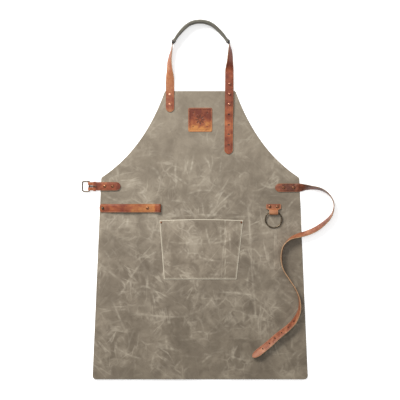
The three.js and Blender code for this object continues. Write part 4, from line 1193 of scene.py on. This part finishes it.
def make_patch(leather):
    half = PATCH["side"] / 2
    radius = PATCH["radius"]
    inner = np.linspace(-half + 1.0, half - 1.0, 150)
    line = np.concatenate([[-half, -half + 0.5], inner, [half - 0.5, half]])
    x, y = np.meshgrid(line, line)
    # The square grid is pulled into rounded corners: rows near an edge are shortened.
    def squeeze(value, other):
        deep = np.clip(np.abs(other) - (half - radius), 0, radius)
        limit = half - radius + np.sqrt(np.maximum(radius ** 2 - deep ** 2, 0.0))
        return value * limit / half
    sx = squeeze(x, y)
    depth = patch_relief(sx, y)
    distance = np.minimum(half - np.abs(y), np.abs(np.abs(squeeze(np.full_like(x, half), y)) - np.abs(sx)))
    edge = np.clip(distance, 0, 2)
    crown = -0.35 * np.exp(-(edge / 0.5) ** 2)
    top = FACE + PATCH["thick"] - depth + crown
    xy = np.column_stack([sx.ravel(), y.ravel() + PATCH["y"]])
    points = np.vstack([np.column_stack([xy, top.ravel()]), np.column_stack([xy, np.full(len(xy), FACE)])])
    faces = sheet_faces(len(line), len(line), 0, len(xy))
    side = np.clip(1 - distance / 10.0, 0, 0.79).ravel()
    side = np.where(distance.ravel() < 1.2, 0.97, side)
    dark = np.clip(depth / 0.42, 0, 1).ravel() * 0.62
    tone = np.interp(-y.ravel(), (-half, -8, 6, 22, half), (-1.4, -1.0, 0.2, 1.0, 1.6))
    zeros = np.zeros(len(xy))
    new_piece("patch_badge", points, faces, leather, "apron", ["patch"], smooth=60.0,
              attributes={"side": np.tile(side, 2), "skin": np.concatenate([zeros, zeros + 1.0]),
                          "tone": np.tile(tone, 2), "dark": np.concatenate([dark, zeros])})


def make_patch_stitches(thread):
    half = PATCH["side"] / 2 - 2.6
    r = 3.0
    z = FACE + PATCH["thick"]
    outline = np.vstack([arc(half - r, half - r, r, 0, 90, 6), arc(-half + r, half - r, r, 90, 180, 6),
                         arc(-half + r, -half + r, r, 180, 270, 6), arc(half - r, -half + r, r, 270, 360, 6)])
    outline = np.vstack([outline, outline[:1]])
    run = np.column_stack([outline[:, 0], outline[:, 1] + PATCH["y"], np.full(len(outline), z)])
    stitch_row("patch_stitches", run, 3.4, 2.5, 0.4, thread, "apron", 0.1)


# ------------------------------------------------------------------ pad
def pad_half(place, total):
    """Half the pad's thickness at that place along it."""
    return (PAD_END + (PAD_MIDDLE - PAD_END) * math.sin(math.pi * place / total) ** 0.7) / 2


def pad_spot(path, lengths, place, reach):
    """Three points on the pad's curve, reach apart about the place, and the way out from it."""
    spots = resample(path, np.array([place - reach, place, place + reach]), lengths)
    ahead = unit(spots[2] - spots[0])
    return spots, np.array([-ahead[1], ahead[0], 0.0])


def pad_section(half_thick, steps=10):
    """Points round the pad's section as (out, up, rim). Both long edges are sewn lips of two
    layers with a groove between them. Rim is 1 on a lip's cut edge and -1 in the groove, which is painted in
    shade."""
    half_high = PAD_HEIGHT / 2
    lip, seam = 2.3, half_high - PAD_SEAM
    side = []
    belly_ups = np.linspace(-seam + 1.4, seam - 1.4, steps)
    for up in np.concatenate([[-seam - 0.9, -seam], belly_ups, [seam, seam + 0.9]]):
        inside = np.clip((seam - abs(up)) / seam, 0, 1)
        belly = (1 - (1 - inside) ** 2.6) ** 0.6
        dip = 0.45 * math.exp(-((abs(up) - seam) / 0.8) ** 2)
        side.append((lip + (half_thick - lip) * belly - dip, up, 0.0))
    top = [(lip, half_high - 1.2, 0.3), (lip - 0.1, half_high - 0.3, 1.0), (lip - 0.5, half_high, 1.0),
           (0.8, half_high, 1.0), (0.45, half_high - 0.5, 0.0), (0.0, half_high - 1.3, -1.0)]
    right = [(a, -b, c) for a, b, c in reversed(top)] + side + top
    left = [(-a, b, c) for a, b, c in reversed(right)]
    return right + left[1:-1]


def make_pad(leather, thread):
    path, lengths = pad_curve()
    total = lengths[-1]
    end = np.array([0.0, 0.25, 0.8, 1.8, 3.2, 5.9, 6.1])
    places = np.concatenate([end, np.linspace(7.6, total - 7.6, 110), total - end[::-1]])
    centre = resample(path, places, lengths)
    ahead = heading(path, places, lengths)
    outward = np.column_stack([-ahead[:, 1], ahead[:, 0], np.zeros(len(ahead))])
    z = FLOOR + PAD_HEIGHT / 2
    points, rim = [], []
    for c, o, place in zip(centre, outward, places):
        quilt = 1 + 0.03 * math.sin(place / 5.1) * math.sin(place / 17.0)
        close = min(1.0, 0.8 + min(place, total - place) / 2.0)
        round_end = 1 - 0.045 * max(0.0, 1 - min(place, total - place) / 3.0)
        for a, b, r in pad_section(pad_half(place, total)):
            points.append(c + o * a * quilt * close + np.array([0, 0, z + b * round_end]))
            rim.append(r if min(place, total - place) > PAD_BINDING else -2.0)
    faces = ring_faces(len(places), len(points) // len(places))
    pad = new_piece("neck_pad", points, faces, leather, "neck_loop",
                    ["neck_pad_cover", "neck_pad_core"], smooth=55.0, attributes={"rim": rim})
    make_pad_stitches(path, lengths, thread)


def make_pad_stitches(path, lengths, thread):
    """A row of stitches beside each sewn lip, on both faces of the pad."""
    total = lengths[-1]
    count = int(total / 3.8)
    rings, around = 5, 6
    z = FLOOR + PAD_HEIGHT / 2
    points, faces = [], []
    for up in (PAD_HEIGHT / 2 - PAD_SEAM, -PAD_HEIGHT / 2 + PAD_SEAM):
        for sign in (1, -1):
            for s in range(1, count - 1):
                at, outward = pad_spot(path, lengths, (s + 0.5) * total / count, 1.35)
                outward = outward * sign
                faces += ring_faces(rings, around, len(points), flip=sign > 0)
                for k in range(rings):
                    share = math.sin(math.pi * (k + 0.3) / 4.6)
                    c = at[0] + (at[2] - at[0]) * k / 4 + outward * (1.75 + 0.25 * share)
                    size = 0.42 * max(0.3, share)
                    for a in turn_angles(around):
                        points.append(c + outward * math.cos(a) * size
                                      + np.array([0, 0, z + up + math.sin(a) * size]))
    new_piece("neck_pad_stitches", points, faces, thread, "neck_loop")


# ------------------------------------------------------------------ metal
def lathe_mesh(profile, steps=40, wobble=0.0, seed=0):
    """A turned solid about Z. The profile runs from the axis at the bottom to the axis at the top."""
    rng = np.random.default_rng(seed)
    phase = rng.uniform(0, 6.28, 3)
    points = [(0.0, 0.0, profile[0][1])]
    for r, z in profile[1:-1]:
        for a in turn_angles(steps):
            bend = 1 + wobble * (math.sin(2 * a + phase[0]) + 0.6 * math.sin(3 * a + phase[1]))
            points.append((r * bend * math.cos(a), r * bend * math.sin(a), z))
    points.append((0.0, 0.0, profile[-1][1]))
    faces = [(0, 1 + (k + 1) % steps, 1 + k) for k in range(steps)]
    faces += ring_faces(len(profile) - 2, steps, 1, caps=False)
    top, last = len(points) - 1, 1 + (len(profile) - 3) * steps
    faces += [(last + k, last + (k + 1) % steps, top) for k in range(steps)]
    return points, faces


def cap_profile(radius, rise):
    """A domed rivet cap with a rolled rim and a shallow ring struck round its crown."""
    dome = [(0.0, 0.0), (radius * 0.86, 0.0), (radius * 0.97, rise * 0.08), (radius, rise * 0.22),
            (radius * 0.97, rise * 0.36), (radius * 0.9, rise * 0.46), (radius * 0.84, rise * 0.5)]
    for k in range(1, 9):
        a = k / 9 * math.pi / 2
        dome.append((radius * 0.82 * math.cos(a), rise * (0.52 + 0.48 * math.sin(a))))
    dome.append((0.0, rise))
    return dome


def make_rivets(copper, aged, dark):
    caps = sorted(n for n in NODES if n.endswith("_cap"))
    path, lengths = pad_curve()
    for index, node in enumerate(caps):
        low, high = node_box(node)
        middle = (low + high) / 2
        name = node.replace("_cap", "_head")
        if node.startswith("pad_rivet"):
            place = PAD_RIVET_INSET if "left" in node else lengths[-1] - PAD_RIVET_INSET
            here, outward = pad_spot(path, lengths, place, 0.5)
            half = pad_half(place, lengths[-1])
            base = here[1] + outward * (half - 0.1) + np.array([0, 0, FLOOR + PAD_HEIGHT / 2])
            points, faces = lathe_mesh(cap_profile(4.5, 2.8), 40, 0.006, index)
            new_piece(name, turned(points, base, outward), faces, dark, "neck_loop",
                      [node], smooth=35.0)
            continue
        radius = (high[0] - low[0]) / 2
        base = (middle[0], middle[1], low[2])
        points, faces = lathe_mesh(cap_profile(radius * 1.02, high[2] - low[2]), 40, 0.008, index)
        metal = copper if node.startswith("neck") else aged
        new_piece(name, turned(points, base), faces, metal, "apron", [node], smooth=35.0)


def make_studs(copper, antique):
    for node in ("neck_stud_1", "neck_stud_2", "neck_stud_3", "towel_stud"):
        low, high = node_box(node)
        middle = (low + high) / 2
        total = high[2] - low[2]
        ball, flange = 3.6, 4.5
        profile = [(0.0, 0.0), (flange * 0.95, 0.0), (flange, 0.25), (flange, 0.6), (flange * 0.95, 0.8),
                   (2.6, 0.85), (2.4, 1.2), (2.4, total - 6.6), (2.6, total - 6.1)]
        for k in range(1, 12):
            a = math.radians(-44 + 134 * k / 12)
            profile.append((ball * math.cos(a), total - ball + ball * math.sin(a)))
        profile.append((0.0, total))
        points, faces = lathe_mesh(profile, 40)
        metal = antique if node.startswith("towel") else copper
        new_piece(f"{node}_button", turned(points, (middle[0], middle[1], low[2])), faces, metal, "apron",
                  [node], smooth=35.0)


def tube_mesh(centres, outward, up, radius, around=16):
    points = []
    for c, o, u in zip(centres, outward, up):
        for a in turn_angles(around):
            points.append(c - o * radius * math.cos(a) + u * radius * math.sin(a))
    return points, ring_faces(len(centres), around, loop=True)


def make_ring(metal):
    r = RING_TAB
    radius, wire = RING["radius"], RING["wire"]
    chord = math.sqrt(radius ** 2 - r["neck_half"] ** 2)
    rise = (radius - chord + wire * radius / chord - wire) / 2
    tilt = math.atan2(r["axis_z"] - RING["end_z"], 2 * radius)
    angles = np.linspace(0, 2 * np.pi, 96, endpoint=False)
    local = np.column_stack([radius * np.cos(angles), radius * np.sin(angles) - (radius - rise),
                             np.zeros(96)])
    out = np.column_stack([np.cos(angles), np.sin(angles), np.zeros(96)])
    turn = np.array(Matrix.Rotation(tilt, 3, "X"))
    centre = local @ turn.T + np.array([r["x"], r["axis_y"], r["axis_z"]])
    up = np.tile(turn @ np.array([0, 0, 1.0]), (96, 1))
    points, faces = tube_mesh(centre, out @ turn.T, up, wire, 20)
    new_piece("ring_wire", points, faces, metal, "ring", ["ring"], smooth=60.0)


def make_buckle(metal):
    b = BUCKLE
    reach = math.hypot(b["heel_x"] - b["left_x"], b["heel_z"] - b["left_z"])
    tilt = math.atan2(b["heel_z"] - b["left_z"], b["heel_x"] - b["left_x"])
    big, small = b["corner"], b["corner"] / 2
    corners = [(-reach + big, -b["half"] + big, big, 180), (-small, -b["half"] + small, small, 270),
               (-small, b["half"] - small, small, 0), (-reach + big, b["half"] - big, big, 90)]
    outline = np.vstack([arc(cx, cy, radius, start, start + 90, 12) for cx, cy, radius, start in corners])
    flat, ahead = resample_loop(outline, 150)
    out = np.column_stack([ahead[:, 1], -ahead[:, 0], np.zeros(len(ahead))])
    turn = np.array(Matrix.Rotation(-tilt, 3, "Y"))
    centre = flat @ turn.T + np.array([b["heel_x"], b["y"], b["heel_z"]])
    up = np.tile(turn @ np.array([0, 0, 1.0]), (len(flat), 1))
    points, faces = tube_mesh(centre, out @ turn.T, up, b["wire"], 16)
    new_piece("buckle_frame_wire", points, faces, metal, "buckle_frame", ["buckle_frame"],
              smooth=60.0)
    make_prong(metal)


def make_prong(metal):
    """The prong: a flat eye round the heel bar and a blade that tapers to a rounded tip."""
    b = BUCKLE
    lift = math.radians(20)
    eye = 2.75
    eye_angles = np.radians(np.linspace(-20, -335, 26))
    path = [(eye * math.cos(a), eye * math.sin(a)) for a in eye_angles]
    path += [(3.3, 0.55), (4.2, 0.15), (5.5, 0.0)] + [(x, 0.0) for x in np.linspace(7, 22.6, 14)]
    path = np.array(path)
    ahead = unit(np.gradient(path, axis=0))
    turn = np.array([[math.cos(lift), -math.sin(lift)], [math.sin(lift), math.cos(lift)]])
    path, ahead = path @ turn.T, ahead @ turn.T
    widths = np.concatenate([np.full(26, 1.8), [1.8, 1.8, 1.75], np.linspace(1.7, 1.25, 14)])
    thick = np.concatenate([np.full(26, 0.55), [0.6, 0.7, 0.75], np.full(12, 0.78), [0.65, 0.3]])
    points = []
    for (x, z), (ax, az), w, t in zip(path, ahead, widths, thick):
        side = np.array([-az, ax])
        for a in turn_angles(16):
            y = w * np.sign(math.cos(a)) * abs(math.cos(a)) ** 0.6
            h = t * np.sign(math.sin(a)) * abs(math.sin(a)) ** 0.6
            points.append((b["heel_x"] + x + side[0] * h, b["y"] - y, b["heel_z"] + z + side[1] * h))
    faces = ring_faces(len(path), 16)
    new_piece("buckle_prong_blade", points, faces, metal, "buckle_prong", ["buckle_prong"],
              smooth=50.0)


def paint_cad_nodes(metal, copper, dark, foam):
    for name, node in NODES.items():
        if node.hide_render:
            continue
        material = metal
        if "rivet" in name:
            material = dark if name.startswith("pad_") else copper
        if name == "neck_pad_core":
            material = foam
        node.data.materials.clear()
        node.data.materials.append(material)


# ------------------------------------------------------------------ the apron
make_camera()
make_studio()

# The panel's dark rim colour is painted shade along its edge; the pocket's pale rim is its cut edge.
panel_leather = panel_material("panel_leather", (0, 0, 0), (0.10, 0.084, 0.062), 0.55)
pocket_leather = panel_material("pocket_leather", (2.3, 1.1, 0.4), (0.60, 0.54, 0.43), 0.85, 1.1)
cognac = dict(dark=(0.125, 0.024, 0.010), middle=(0.225, 0.055, 0.022), light=(0.37, 0.115, 0.042))
left_leather = strap_material("strap_neck_left", (0.19, 0.042, 0.02), (0.275, 0.088, 0.038),
                              (0.375, 0.165, 0.072), 1.0, 0.7)
right_leather = strap_material("strap_neck_right", **cognac, seed=4.0)
waist_leather = strap_material("strap_waist", (0.085, 0.022, 0.010), (0.225, 0.066, 0.03),
                               (0.38, 0.155, 0.075), 8.0)
buckle_leather = strap_material("strap_buckle", **cognac, seed=13.0)
towel_leather = strap_material("strap_towel", (0.15, 0.028, 0.011), (0.25, 0.064, 0.023),
                               (0.37, 0.14, 0.042), 17.0)
ring_leather = strap_material("strap_ring_tab", (0.17, 0.045, 0.02), (0.29, 0.105, 0.045),
                              (0.42, 0.19, 0.09), 23.0, 0.8)
patch_leather = strap_material("patch_leather", (0.12, 0.022, 0.009), (0.235, 0.058, 0.02),
                               (0.43, 0.175, 0.047), 31.0, 0.7)
pad_leather = pad_material()
foam = foam_material()
antique = metal_material("antique_brass", (0.036, 0.029, 0.022), (0.20, 0.152, 0.10), 0.36)
copper = metal_material("copper", (0.30, 0.10, 0.055), (0.78, 0.42, 0.28), 0.4, 2.0)
aged_copper = metal_material("aged_copper", (0.09, 0.032, 0.018), (0.34, 0.17, 0.09), 0.36, 3.0)
black_metal = metal_material("blackened_metal", (0.02, 0.018, 0.016), (0.10, 0.09, 0.08), 0.35, 5.0)
grey_thread = thread_material("grey_thread", (0.36, 0.32, 0.255))
tan_thread = thread_material("tan_thread", (0.42, 0.2, 0.1))
dark_thread = thread_material("dark_thread", (0.17, 0.155, 0.125))

make_panel(panel_leather)
make_pocket(pocket_leather)
make_pocket_stitches(grey_thread)
make_patch(patch_leather)
make_patch_stitches(tan_thread)
make_neck_straps(left_leather, right_leather)
make_pad(pad_leather, dark_thread)
make_waist_strap(waist_leather)
make_buckle_tab(buckle_leather)
make_keeper(buckle_leather)
make_buckle(antique)
make_towel_strap(towel_leather)
make_ring_tab(ring_leather)
make_ring(antique)
make_rivets(copper, aged_copper, black_metal)
make_studs(copper, antique)
paint_cad_nodes(antique, copper, black_metal, foam)
